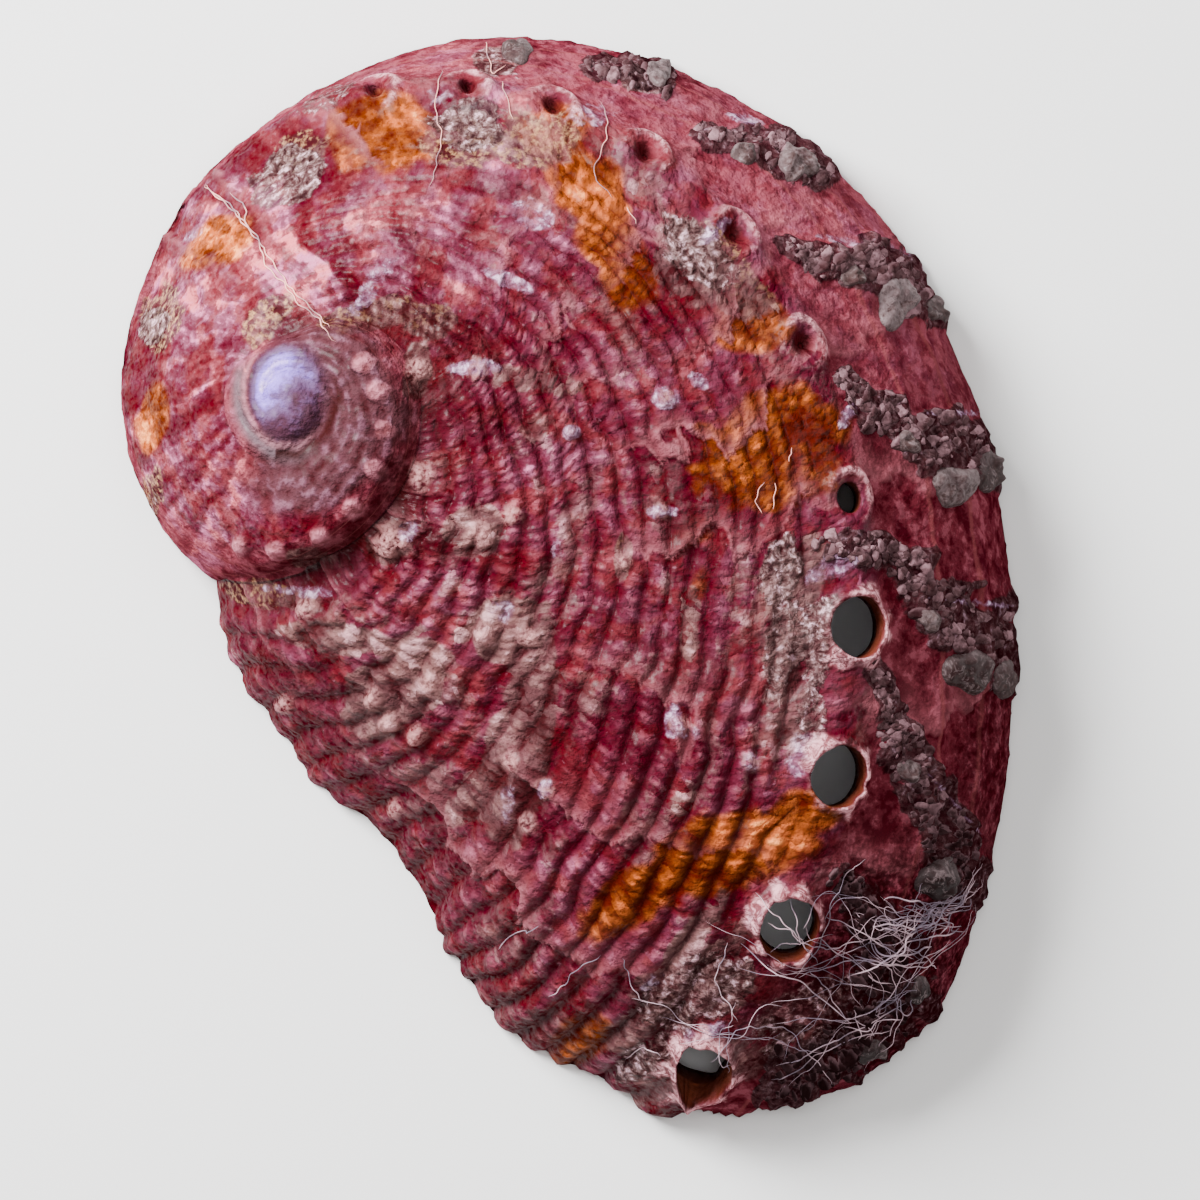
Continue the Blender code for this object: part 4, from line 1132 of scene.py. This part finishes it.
def curled(starts, headings, lengths, curl, steps, chance):
    """Plan paths whose heading wanders by a sum of three waves along their length."""
    count = len(starts)
    place = np.linspace(0, 1, steps)
    angle = np.radians(headings)[:, None] + np.zeros((count, steps))
    for waves in (0.7, 1.9, 4.3):
        size = curl * chance.normal(0, 1, (count, 1)) / waves**0.6
        angle = angle + size * np.sin(TAU * (waves * place + chance.random((count, 1))))
    moves = heading(angle) * (lengths / (steps - 1))[:, None, None]
    return starts[:, None] + np.cumsum(moves, 1) - moves[:, :1]


def lint_tangle(thinnest):
    """Curled fibres thrown over each clump, some lying low and some standing off."""
    chance = np.random.default_rng(LINT_SEED)
    clumps = []
    for x, y, spread, narrow, direction, count, length, curl in CLUMPS:
        ahead, aside = axes_at(direction)
        along = chance.normal(0, 0.6 * spread, (count, 1))
        off = chance.normal(0, 0.6 * narrow, (count, 1))
        headings = direction + chance.normal(0, 32, count) + 180 * (chance.random(count) < 0.5)
        lengths = length * (0.35 + 0.9 * chance.random(count))
        back = (0.4 * lengths)[:, None] * heading(np.radians(headings))
        clumps.append(((x, y) + along * ahead + off * aside - back, headings, lengths, np.full(count, curl)))
    starts, headings, lengths, curls = (np.concatenate(part) for part in zip(*clumps))
    plan = curled(starts, headings, lengths, curls[:, None], 44, chance)
    place = np.linspace(0, 1, plan.shape[1])
    stand = 0.05 + 0.35 * chance.random((len(plan), 1)) ** 2
    clearance = stand * (1 + 0.5 * np.sin(TAU * (1.5 * place + chance.random((len(plan), 1)))))
    radius = thinnest + 0.025 * chance.random(len(plan)) ** 3
    return fibre_tubes(over_shell(plan, clearance, LINT_EDGE), radius, 4)


def strand_paths(steps=60):
    """Each strand's points joined by a smooth curve, with a slight waviness of its own."""
    chance = np.random.default_rng(LINT_SEED + 1)
    paths = []
    for strand in STRANDS:
        strand = np.array(strand, float)
        run = run_along(strand)
        at = np.linspace(0, run[-1], steps)
        path = np.stack([smooth_through(tuple(zip(run, strand[:, axis])), at) for axis in (0, 1)], -1)
        for size, wave in ((0.05, 1.7), (0.03, 0.6)):
            path = path + size * np.sin(TAU * (at[:, None] / wave + chance.random(2)))
        paths.append(path)
    return np.array(paths)


def lint_strands():
    """The single fibres, lying on the shell."""
    plan = strand_paths()
    radius = np.full(len(plan), STRAND_RADIUS)
    radius[:THICK_STRANDS] = THICK_STRAND_RADIUS
    clearance = np.full(plan.shape[:2], STRAND_CLEARANCE)
    return fibre_tubes(over_shell(plan, clearance, STRAND_EDGE), radius, 6)


def colour(red, green, blue):
    """Base colour of a surface that looks like this screen colour, from 0 to 255, on the stage."""
    light = np.interp((red, green, blue), SCREEN, LIGHT) / STAGE_LIGHT
    return (*np.minimum(light, BRIGHTEST).tolist(), 1.0)


class Wire:
    """A socket in a material's nodes. Arithmetic on it adds Math nodes."""

    def __init__(self, paint, socket):
        self.paint = paint
        self.socket = socket

    def math(self, operation, *terms):
        """A Math node, on the terms or on this socket alone."""
        terms = dict(enumerate(terms or (self,)))
        return self.paint.node("ShaderNodeMath", {"operation": operation}, terms)

    def __add__(self, other):
        return self.math("ADD", self, other)

    def __sub__(self, other):
        return self.math("SUBTRACT", self, other)

    def __rsub__(self, other):
        return self.math("SUBTRACT", other, self)

    def __mul__(self, other):
        return self.math("MULTIPLY", self, other)

    def __truediv__(self, other):
        return self.math("DIVIDE", self, other)

    __radd__ = __add__
    __rmul__ = __mul__


class Paint:
    """A material and the nodes that its finish is made of. A tint of three numbers is a screen colour."""

    def __init__(self, name):
        self.material = bpy.data.materials.new(name)
        self.material.use_nodes = True
        self.tree = self.material.node_tree
        self.surface = self.tree.nodes["Principled BSDF"]
        place = self.node("ShaderNodeTexCoord", output="Object")
        self.place = self.node("ShaderNodeVectorMath", {"operation": "SCALE"}, {0: place, "Scale": 1 / MM})

    def put(self, socket, value):
        if isinstance(value, Wire):
            self.tree.links.new(value.socket, socket)
        else:
            socket.default_value = value

    def node(self, kind, settings=None, sockets=None, output=0):
        """Adds a node: its settings first, then the values or links of its sockets."""
        made = self.tree.nodes.new(kind)
        for name, value in (settings or {}).items():
            setattr(made, name, value)
        for name, value in (sockets or {}).items():
            self.put(made.inputs[name], value)
        return Wire(self, made.outputs[output])

    def value(self, name):
        return self.node("ShaderNodeAttribute", {"attribute_name": name}, output="Fac")

    def step(self, low, high, value):
        settings = {"interpolation_type": "SMOOTHSTEP"}
        return self.node("ShaderNodeMapRange", settings, {"Value": value, "From Min": low, "From Max": high})

    def mix(self, share, first, second):
        first, second = (
            colour(*tint) if isinstance(tint, tuple) and len(tint) == 3 else tint for tint in (first, second)
        )
        return self.node("ShaderNodeMix", {"data_type": "RGBA"}, {0: share, 6: first, 7: second}, 2)

    def ramp(self, value, *stops):
        """A colour by a value, blended between stops: a place and its tint each."""
        body = stops[0][1]
        for (low, _), (high, tint) in itertools.pairwise(stops):
            body = self.mix(self.step(low, high, value), body, tint)
        return body

    def noise(self, scale, detail=2.0, place=None, roughness=0.5, distortion=0.0):
        sockets = {"Vector": place or self.place, "Scale": scale, "Detail": detail}
        sockets |= {"Roughness": roughness, "Distortion": distortion}
        return self.node("ShaderNodeTexNoise", None, sockets)

    def cells(self, scale, place, output="Distance"):
        return self.node("ShaderNodeTexVoronoi", None, {"Vector": place, "Scale": scale}, output)

    def shifted(self, shift):
        """The place in mm, moved by a vector, or by the same length along each axis."""
        return self.node("ShaderNodeVectorMath", {"operation": "ADD"}, {0: self.place, 1: shift})

    def vector(self, x, y, z=0.0):
        return self.node("ShaderNodeCombineXYZ", None, {0: x, 1: y, 2: z})

    def length_up(self):
        """The place's y in mm: the lower part of the shell is below 0."""
        return self.node("ShaderNodeSeparateXYZ", None, {0: self.place}, 1)

    def bump(self, height, strength=1.0):
        sockets = {"Height": height, "Distance": MM, "Strength": strength}
        return self.node("ShaderNodeBump", None, sockets)

    def finish(self, **sockets):
        """Sets the surface's own sockets, named with _ for spaces."""
        for name, value in sockets.items():
            self.put(self.surface.inputs[name.replace("_", " ")], value)
        return self.material


def red_shell(sizes):
    """Red, orange, cream and grey patches over beaded ribs, pale on edges, with painted shade in grooves and
    hollows and painted highlights on beads.
    """
    paint = Paint("red_shell")
    uv = paint.node("ShaderNodeUVMap", {"uv_map": "grown"})
    grown = paint.node("ShaderNodeSeparateXYZ", None, {0: uv})
    rib = Wire(paint, grown.socket.node.outputs[1])
    mid = paint.noise(1.4, 4, roughness=0.6)
    grain = paint.noise(2.6, 2)
    fine = paint.noise(4.2, 3, roughness=0.6)
    speck = paint.noise(9.0, 2)
    ragged = paint.noise(2.2, 4, roughness=0.7, distortion=1.2)
    broad = paint.noise(0.33, 3, distortion=0.8)
    crest, rose_and_painted_light, band, nodule = (paint.value(name) for name in ("crest", "rose_and_painted_light", "band", "nodule"))

    # Beads as cells along the ribs, which give way to spots on the wall and on the older shell
    sockets = {"Value": 0.3 + 0.7 * (rib.math("FLOOR") + 0.5) / RIBS, "Min": 0.25, "Max": 1.0}
    run = grown * paint.node("ShaderNodeClamp", None, sockets)
    bead_place = paint.vector(run / 0.28 + 1.2 * mid + 0.6 * fine, rib * 1.7 + 1.0 * mid + 0.4 * fine)
    wall = paint.step(RIBS + 0.5, RIBS + 2.0, rib)
    ribbed = paint.step(14.0, 32.0, grown) * (1 - wall)
    spots = paint.cells(2.4, paint.shifted(0.8 * mid), "Color")
    bead_form = paint.step(0.8, 0.1, paint.cells(1.0, bead_place)) * ribbed
    bead_tone = spots + ribbed * (paint.cells(1.0, bead_place, "Color") - spots)
    bands = paint.noise(1.0, 3, paint.vector(grown * 1.3, rib * 0.16))
    bands = 0.5 + (0.35 + 0.65 * paint.step(-2.0, 6.0, grown)) * (bands - 0.5)
    bands = bands + 0.7 * wall * (ragged - bands)

    tone = 0.28 * mid + 0.3 * bands + 0.22 * grain + 0.15 * bead_tone + 0.6 * (broad - 0.5) + 0.025
    # Crests and bead tops turn lighter, and grooves and gaps between beads darker: partly painted highlight
    # and painted shade
    tone = tone + 0.05 * (bead_form - 0.6) + 0.12 * (crest - 0.7) + 0.12 * (nodule - 0.3)
    smooth_tone = 0.3 * bands + 0.3 * fine - 0.1 * mid - 0.25
    tone = tone + 0.1 * (band - 0.5) + (1 - ribbed) * smooth_tone
    # The rose value, partly painted light, lightens the tone here and also the wall, orange and cream below
    bright = tone + rose_and_painted_light * (0.19 + 0.2 * (band - 0.5))
    crimson = paint.ramp(
        bright, (0.34, (112, 2, 22)), (0.45, (124, 26, 42)), (0.57, (*sizes.red, 1.0)),
        (0.69, (166, 92, 104)), (0.84, (212, 150, 160)),
    )
    magenta = paint.ramp(
        bright, (0.34, (104, 2, 30)), (0.45, (116, 24, 50)), (0.57, (132, 52, 80)),
        (0.68, (160, 98, 124)), (0.84, (206, 152, 178)),
    )
    hue = paint.noise(0.8, 3, paint.shifted((9.0, 4.0, 2.0))) + 0.1 * (bead_tone - 0.5) - 0.06 * rose_and_painted_light
    red = paint.mix(paint.step(0.38, 0.54, hue), crimson, magenta)
    wall_tone = 0.48 + 0.9 * (mid - 0.5) + 0.3 * (ragged - 0.5) + 0.12 * (fine - 0.5) + 0.1 * rose_and_painted_light
    wall_red = paint.ramp(wall_tone, (0.36, (102, 12, 30)), (0.5, (138, 54, 72)), (0.62, (170, 104, 120)))
    # The wall turns paler where rose lies, partly as painted light
    wall_red = paint.mix(rose_and_painted_light * 0.5, wall_red, paint.mix(0.3 * mid, red, (206, 150, 166)))
    red = paint.mix(wall * 0.9, red, wall_red)
    glints = paint.step(0.42, 0.68, 0.4 * bead_tone + 0.2 * grain + 0.45 * nodule)
    glints = glints * bead_form * (1 - 0.5 * wall)
    red = paint.mix(glints * 0.3, red, (194, 134, 148))
    # Pale flecks: partly the shell's own and partly painted glints, on the back and on the wall
    pale_flecks_and_glints = paint.step(0.6, 0.74, 0.6 * fine + 0.4 * ragged)
    red = paint.mix(pale_flecks_and_glints * 0.35, red, paint.mix(wall, (206, 166, 180), (176, 116, 130)))

    orange = paint.ramp(
        tone + 0.16 * rose_and_painted_light, (0.34, (106, 16, 0)), (0.45, (128, 48, 4)), (0.55, (*sizes.orange, 1.0)),
        (0.64, (198, 130, 62)), (0.76, (232, 178, 124)),
    )
    patch = paint.value("orange")
    orange_cover = paint.step(0.16, 0.62, patch + 0.35 * (mid - 0.5) + 0.3 * (bands - 0.5))
    orange_cover = orange_cover * (0.55 + 0.42 * paint.step(0.3, 1.0, patch))
    body = paint.mix(orange_cover, red, orange)
    cream = paint.ramp(
        tone, (0.34, (78, 30, 32)), (0.46, (124, 86, 88)), (0.59, (*sizes.cream, 1.0)), (0.7, (204, 176, 178))
    )
    cream_cover = paint.step(0.3, 0.62, paint.value("cream") + 0.6 * (mid - 0.5) + 0.45 * (bead_tone - 0.5))
    body = paint.mix(cream_cover * 0.76, body, cream)
    body = paint.mix(cream_cover * rose_and_painted_light * paint.step(0.45, 0.7, fine) * 0.8, body, (208, 180, 148))
    grain_tone = 0.2 * (1 - paint.cells(2.8, paint.shifted(mid))) + 0.6 * ragged + 0.2 * fine
    grey = paint.ramp(
        grain_tone, (0.4, (64, 34, 36)), (0.47, (116, 86, 86)), (0.54, (164, 138, 138)),
        (0.63, (214, 198, 204)),
    )
    grey_cover = paint.step(0.42, 0.64, paint.value("grey") + 0.6 * (mid - 0.5) + 0.6 * (fine - 0.5))
    body = paint.mix(grey_cover * 0.85, body, grey)

    # Cream veins along the ribs, painted shade in the grooves, pale folds, and keels pale partly as a painted
    # highlight
    veins = paint.noise(1.0, 3, paint.vector(grown * 0.2, rib * 0.42, 5.0))
    veil = paint.step(0.53, 0.64, veins + 0.25 * (mid - 0.5) + 0.3 * (fine - 0.5))
    veil = veil * ribbed * (1 - orange_cover)
    body = paint.mix(veil * (0.3 + 0.3 * bead_tone), body, cream)
    # Painted shade: the grooves between the ribs are darkened
    body = paint.mix(paint.step(0.55, 0.15, crest) * 0.22, body, (104, 6, 22))
    body = paint.mix(paint.value("fold") * (0.2 + 0.5 * mid), body, (196, 146, 156))
    # The keels are painted paler: partly their own colour and partly a painted highlight along their ridges
    for across, _ in WALL_KEELS:
        away = (rib - RIBS * across).math("ABSOLUTE")
        body = paint.mix(paint.step(0.28, 0.06, away) * (0.2 + 0.6 * mid), body, (168, 104, 108))
    crust_cover = paint.step(0.3, 0.6, paint.value("crust") + 0.6 * (fine - 0.5))
    crust = paint.ramp(
        grain_tone, (0.4, (40, 12, 18)), (0.5, (84, 54, 58)), (0.58, (124, 98, 102)), (0.7, (176, 158, 168))
    )
    body = paint.mix(crust_cover * 0.85, body, crust)

    # The spire: a mauve whorl and a violet dome
    mauve_tone = 0.5 * mid + 0.3 * grain + 0.1 * paint.value("keel")
    mauve = paint.ramp(mauve_tone, (0.3, (84, 34, 40)), (0.45, (120, 76, 86)), (0.58, (162, 124, 138)))
    body = paint.mix(paint.value("mauve") * 0.85, body, mauve)
    # The violet dome is painted lighter on its lit upper left
    violet = paint.ramp(
        0.6 * paint.value("lit_dome_side") + 0.3 * mid + 0.25 * ragged,
        (0.25, (104, 60, 80)), (0.5, (142, 116, 154)), (0.75, (178, 160, 214)), (0.98, (228, 212, 250)),
    )
    violet_cover = paint.value("violet")
    body = paint.mix(violet_cover * paint.step(0.3, 0.45, mid + 0.4 * violet_cover), body, violet)
    # Moss and suture are the shell's own colours; the gully is painted shade
    for name, share, tint in (
        ("moss", 0.8, (146, 132, 138)), ("shaded_gully", 0.9, (74, 20, 16)), ("suture", 0.5, (196, 160, 168)),
    ):
        body = paint.mix(paint.value(name) * share, body, tint)
    bead_pink = paint.mix(paint.step(0.3, 0.7, grain), (164, 106, 114), (206, 164, 172))
    body = paint.mix(paint.step(0.1, 0.9, paint.value("bead")) * 0.8, body, bead_pink)

    # Painted shade in dark patches and hollows, pale peaks, white spots, pearly rims and the bores of the
    # holes
    # Painted shade, in part: the dark patches darken the spire's shaded side, the right wall and the lower
    # right
    body = paint.mix(paint.value("deep") * paint.step(0.7, 0.4, fine) * 0.65, body, (60, 2, 10))
    # Painted shade in the suture valley and in the pits
    body = paint.mix(paint.value("shade") * 0.5, body, (78, 26, 20))
    body = paint.mix(paint.value("peak") * paint.step(0.3, 0.6, fine) * 0.75, body, (206, 172, 172))
    # White patches: partly white spots and partly painted highlights on ridges
    white_cover = paint.step(0.45, 1.1, paint.value("white") + 0.7 * (ragged - 0.5) + 0.5 * (grain - 0.5))
    white_tone = 0.4 * ragged + 0.6 * grain
    white = paint.ramp(white_tone, (0.38, (138, 104, 120)), (0.5, (180, 156, 176)), (0.62, (226, 210, 232)))
    body = paint.mix(white_cover * 0.65, body, white)
    pearl_cover = paint.step(0.3, 1.0, paint.value("pearl") + 0.9 * (grain - 0.5))
    pearl = paint.mix(paint.step(0.4, 0.62, ragged), (168, 118, 126), (222, 196, 202))
    body = paint.mix(pearl_cover * 0.8, body, pearl)
    bore = paint.mix(paint.step(5.0, 3.0, paint.length_up()), (108, 22, 30), (156, 92, 60))
    body = paint.mix(paint.value("bore") * 0.85, body, bore)

    height = 0.07 * bead_form + 0.2 * grain + 0.1 * fine + 0.03 * speck + 0.1 * mid
    height = height + (0.03 + 0.09 * crust_cover + 0.09 * grey_cover) * ragged
    return paint.finish(
        Base_Color=body,
        Roughness=0.6,
        Specular_IOR_Level=0.0,
        Coat_Weight=0.2 * (1 - wall) * (1 - crust_cover) * paint.step(0.35, 0.6, fine),
        Coat_Roughness=0.3,
        Coat_IOR=1.4,
        Normal=paint.bump(height, 0.9),
    )


def pearly_inside(sizes):
    """Mother of pearl: bands of green, pink and blue over silver, turning red at the margin."""
    paint = Paint("pearly_inside")
    ripple = paint.noise(0.9, 3)
    under_apex = (*APEX, 8.0)
    reach = paint.node("ShaderNodeVectorMath", {"operation": "DISTANCE"}, {0: paint.place, 1: under_apex}, 1)
    phase = reach / 5.5 + 2.2 * paint.noise(0.16, 3, distortion=0.6) + 0.25 * ripple
    wave = (phase * TAU).math("SINE")
    other = ((1.6 * phase + 0.3) * TAU).math("SINE")
    pearl = (*sizes.nacre, 1.0)
    for cover, tint in (
        (paint.step(-0.6, 1.0, wave) * 0.55, (170, 204, 190)),
        (paint.step(-0.5, 1.0, other) * 0.5, (230, 172, 194)),
        (paint.step(0.4, -1.0, wave) * 0.4, (158, 180, 220)),
    ):
        pearl = paint.mix(cover, pearl, tint)
    margin = paint.step(0.25, 0.75, paint.value("margin") + 0.5 * (ripple - 0.5))
    return paint.finish(
        Base_Color=paint.mix(margin * 0.85, pearl, (150, 50, 60)),
        Metallic=0.35 * (1 - margin),
        Roughness=0.2 + 0.12 * ripple + 0.3 * margin,
        Coat_Weight=0.5 * (1 - margin),
        Coat_Roughness=0.12,
        Normal=paint.bump(0.06 * ripple, 0.5),
    )


def crust_finish(name, dark, light, rim, gloss):
    """Crust: a tone for each plate, grain over it, painted shade on the lower part of the shell, and a pale
    lower edge that is partly a painted highlight.
    """
    paint = Paint(name)
    fine = paint.noise(5.0, 3, roughness=0.6)
    body = paint.ramp(0.42 * paint.value("tone") + 0.58 * fine, (0.25, dark), (0.47, light), (0.7, rim))
    body = paint.mix(paint.step(0.45, 0.62, paint.noise(1.3, 3)) * 0.6, body, (92, 54, 58))
    # Painted shade: darker towards the bottom of the shell, where the crust lies in shadow
    body = paint.mix(paint.step(-5.0, -11.0, paint.length_up()) * 0.9, body, (38, 14, 16))
    # A pale edge where each plate is low: partly its own pale rim and partly a painted highlight on the
    # plates' edges
    body = paint.mix(paint.step(0.5, 0.1, paint.value("rise")) * 0.3, body, rim)
    blotch = paint.noise(2.6, 4, roughness=0.7, distortion=1.0)
    body = paint.mix(paint.step(0.52, 0.64, blotch) * gloss, body, rim)
    body = paint.mix(paint.step(0.46, 0.36, blotch) * gloss, body, dark)
    height = 0.08 * fine + 0.02 * paint.noise(11.0, 2) + 0.12 * gloss * blotch
    return paint.finish(
        Base_Color=body,
        Roughness=0.6 - 0.2 * gloss + 0.15 * fine,
        Specular_IOR_Level=0.0,
        Coat_Weight=0.25 * gloss,
        Coat_Roughness=0.3,
        Normal=paint.bump(height, 0.8),
    )


def lint_finish(name, upper, lower):
    """Thin fibres: one shade on the shell's upper part and one on its lower, with darker stretches."""
    paint = Paint(name)
    body = paint.mix(paint.step(0.0, -6.0, paint.length_up()), upper, lower)
    body = paint.mix(paint.step(0.4, 0.6, paint.noise(0.7, 2)) * 0.8, body, (124, 112, 136))
    return paint.finish(Base_Color=body, Roughness=0.75)


def add_light(name, place, size, power):
    """A square soft light at a place in mm, aimed at the shell."""
    light = bpy.data.lights.new(name, "AREA")
    light.shape = "SQUARE"
    light.size = size * MM
    light.energy = power
    made = bpy.data.objects.new(name, light)
    made.location = Vector(place) * MM
    made.rotation_euler = (-made.location).to_track_quat("-Z", "Y").to_euler()
    bpy.context.scene.collection.objects.link(made)


TINT = {"subtype": "COLOR", "size": 3, "min": 0.0, "max": 1.0}


class ShellSizes(bpy.types.PropertyGroup):
    """Sizes and colours of the shell and what lies on it."""

    rib_height: bpy.props.FloatProperty(
        name="Rib height", description="Height of the ribs", default=RIB_HEIGHT * MM, unit="LENGTH"
    )
    bead_height: bpy.props.FloatProperty(
        name="Bead height", description="Height of the beads on ribs", default=BEAD_HEIGHT * MM, unit="LENGTH"
    )
    fibre_radius: bpy.props.FloatProperty(
        name="Fibre radius", description="Radius of thinnest lint", default=FIBRE_RADIUS * MM, unit="LENGTH"
    )
    red: bpy.props.FloatVectorProperty(
        name="Red", description="Middle tone of the red ribs", default=colour(142, 54, 68)[:3], **TINT
    )
    orange: bpy.props.FloatVectorProperty(
        name="Orange", description="Middle tone of orange patches", default=colour(162, 90, 22)[:3], **TINT
    )
    cream: bpy.props.FloatVectorProperty(
        name="Cream", description="Light tone of cream patches", default=colour(164, 132, 130)[:3], **TINT
    )
    crust: bpy.props.FloatVectorProperty(
        name="Crust", description="Middle tone of the crust", default=colour(124, 94, 98)[:3], **TINT
    )
    nacre: bpy.props.FloatVectorProperty(
        name="Pearl", description="Ground tone of the inside", default=colour(214, 204, 208)[:3], **TINT
    )
    lint: bpy.props.FloatVectorProperty(
        name="Lint", description="Colour of the lint", default=colour(206, 190, 198)[:3], **TINT
    )


class StageSizes(bpy.types.PropertyGroup):
    """Light and floor of the stage."""

    key_power: bpy.props.FloatProperty(
        name="Main light", description="Power of the light from the upper left", default=1.75, unit="POWER"
    )
    fill_power: bpy.props.FloatProperty(
        name="Fill light", description="Power of the fill light", default=0.5, unit="POWER"
    )
    floor_colour: bpy.props.FloatVectorProperty(
        name="Floor", description="Colour of the floor", default=(0.88, 0.88, 0.88), **TINT
    )


def ride(piece):
    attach(piece, "root")


class SHELL_OT_surface(bpy.types.Operator):
    """Makes the shell itself, in the place of the plain solid"""

    bl_idname = "abalone.surface"
    bl_label = "Shell"

    def execute(self, context):
        made = shell_surface()
        names = (
            "crest", "fold", "shade", "pearl", "peak", "bead", "nodule", "band", "keel", "crust", "bore",
            "margin", "grown", "rib",
        )
        points, faces, *gathered = without_loose(
            np.concatenate(made.points), made.faces, *(made.value(name) for name in names)
        )
        values = dict(zip(names, gathered))
        uv = np.stack((values.pop("grown"), values.pop("rib")), -1)
        plan = points[:, :2]
        patches = {"orange": ORANGE, "cream": CREAM, "grey": GREY, "white": WHITE_AND_GLINTS, "rose_and_painted_light": ROSE_AND_PAINTED_LIGHT, "deep": DEEP_RED_AND_SHADE}
        values |= {name: patch_cover(plan, places) for name, places in patches.items()} | spire_values(plan)
        sizes = context.scene.shell_sizes
        materials = (red_shell(sizes), pearly_inside(sizes))
        shell = make_object("shell_surface", points, faces, materials, values, made.finishes, uv)
        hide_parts("shell")
        ride(shell)
        return {"FINISHED"}


class SHELL_OT_crust(bpy.types.Operator):
    """Makes the grey scales and knobs on the wall"""

    bl_idname = "abalone.crust"
    bl_label = "Crust"

    def execute(self, context):
        light = (*context.scene.shell_sizes.crust, 1.0)
        for name, plates_of, shades in (
            ("crust_scales", crust_scales, ((62, 24, 30), light, (176, 152, 160), 0.0)),
            ("crust_knobs", crust_knobs, ((74, 48, 48), (114, 90, 88), (162, 144, 146), 0.7)),
        ):
            points, faces, values = plates_of()
            ride(make_object(name, points, faces, (crust_finish(name, *shades),), values))
        return {"FINISHED"}


class SHELL_OT_lint(bpy.types.Operator):
    """Makes the lint caught on the shell"""

    bl_idname = "abalone.lint"
    bl_label = "Lint"

    def execute(self, context):
        sizes = context.scene.shell_sizes
        lint = (*sizes.lint, 1.0)
        for name, (points, faces, values), upper in (
            ("lint_tangle", lint_tangle(sizes.fibre_radius / MM), lint),
            ("lint_strands", lint_strands(), (232, 192, 184)),
        ):
            ride(make_object(name, points, faces, (lint_finish(name, upper, lint),), values))
        return {"FINISHED"}


class SHELL_OT_stage(bpy.types.Operator):
    """Makes the floor, the lights and the camera"""

    bl_idname = "abalone.stage"
    bl_label = "Stage"

    def execute(self, context):
        scene = context.scene
        sizes = scene.stage_sizes
        bpy.ops.mesh.primitive_plane_add(size=FLOOR_WIDTH)
        floor = context.object
        floor.name = "floor"
        paint = Paint("floor")
        floor.data.materials.append(paint.finish(Base_Color=(*sizes.floor_colour, 1.0), Roughness=0.9))
        add_light("main_light", *MAIN_LIGHT, sizes.key_power)
        add_light("fill_light", *FILL_LIGHT, sizes.fill_power)
        world = bpy.data.worlds.new("studio")
        world.use_nodes = True
        sky = world.node_tree.nodes["Background"]
        sky.inputs["Color"].default_value = SKY_COLOUR
        sky.inputs["Strength"].default_value = SKY_STRENGTH
        scene.world = world
        camera = bpy.data.cameras.new("camera")
        camera.sensor_width, camera.lens = SENSOR_WIDTH, LENS
        camera.clip_start, camera.clip_end = 0.01, 10.0
        made = bpy.data.objects.new("camera", camera)
        height = FRAME_WIDTH / SENSOR_WIDTH * LENS
        made.location = Vector((*VIEW_CENTRE, height + VIEW_HEIGHT)) * MM
        scene.collection.objects.link(made)
        scene.camera = made
        return {"FINISHED"}


class SHELL_PT_panel(bpy.types.Panel):
    """Lists the sizes and makers"""

    bl_idname = "SHELL_PT_panel"
    bl_label = "Abalone shell"
    bl_space_type = "VIEW_3D"
    bl_region_type = "UI"
    bl_category = "Abalone"

    def draw(self, context):
        for group in (context.scene.shell_sizes, context.scene.stage_sizes):
            for name in group.__annotations__:
                self.layout.prop(group, name)
        for operator in OPERATORS:
            self.layout.operator(operator.bl_idname)


OPERATORS = (SHELL_OT_surface, SHELL_OT_crust, SHELL_OT_lint, SHELL_OT_stage)
CLASSES = (ShellSizes, StageSizes, *OPERATORS, SHELL_PT_panel)


def register():
    for one in CLASSES:
        bpy.utils.register_class(one)
    bpy.types.Scene.shell_sizes = bpy.props.PointerProperty(type=ShellSizes)
    bpy.types.Scene.stage_sizes = bpy.props.PointerProperty(type=StageSizes)


def unregister():
    del bpy.types.Scene.stage_sizes, bpy.types.Scene.shell_sizes
    for one in reversed(CLASSES):
        bpy.utils.unregister_class(one)


def main():
    register()
    bpy.ops.abalone.surface()
    bpy.ops.abalone.crust()
    bpy.ops.abalone.lint()
    bpy.ops.abalone.stage()


if __name__ == "__main__":
    main()
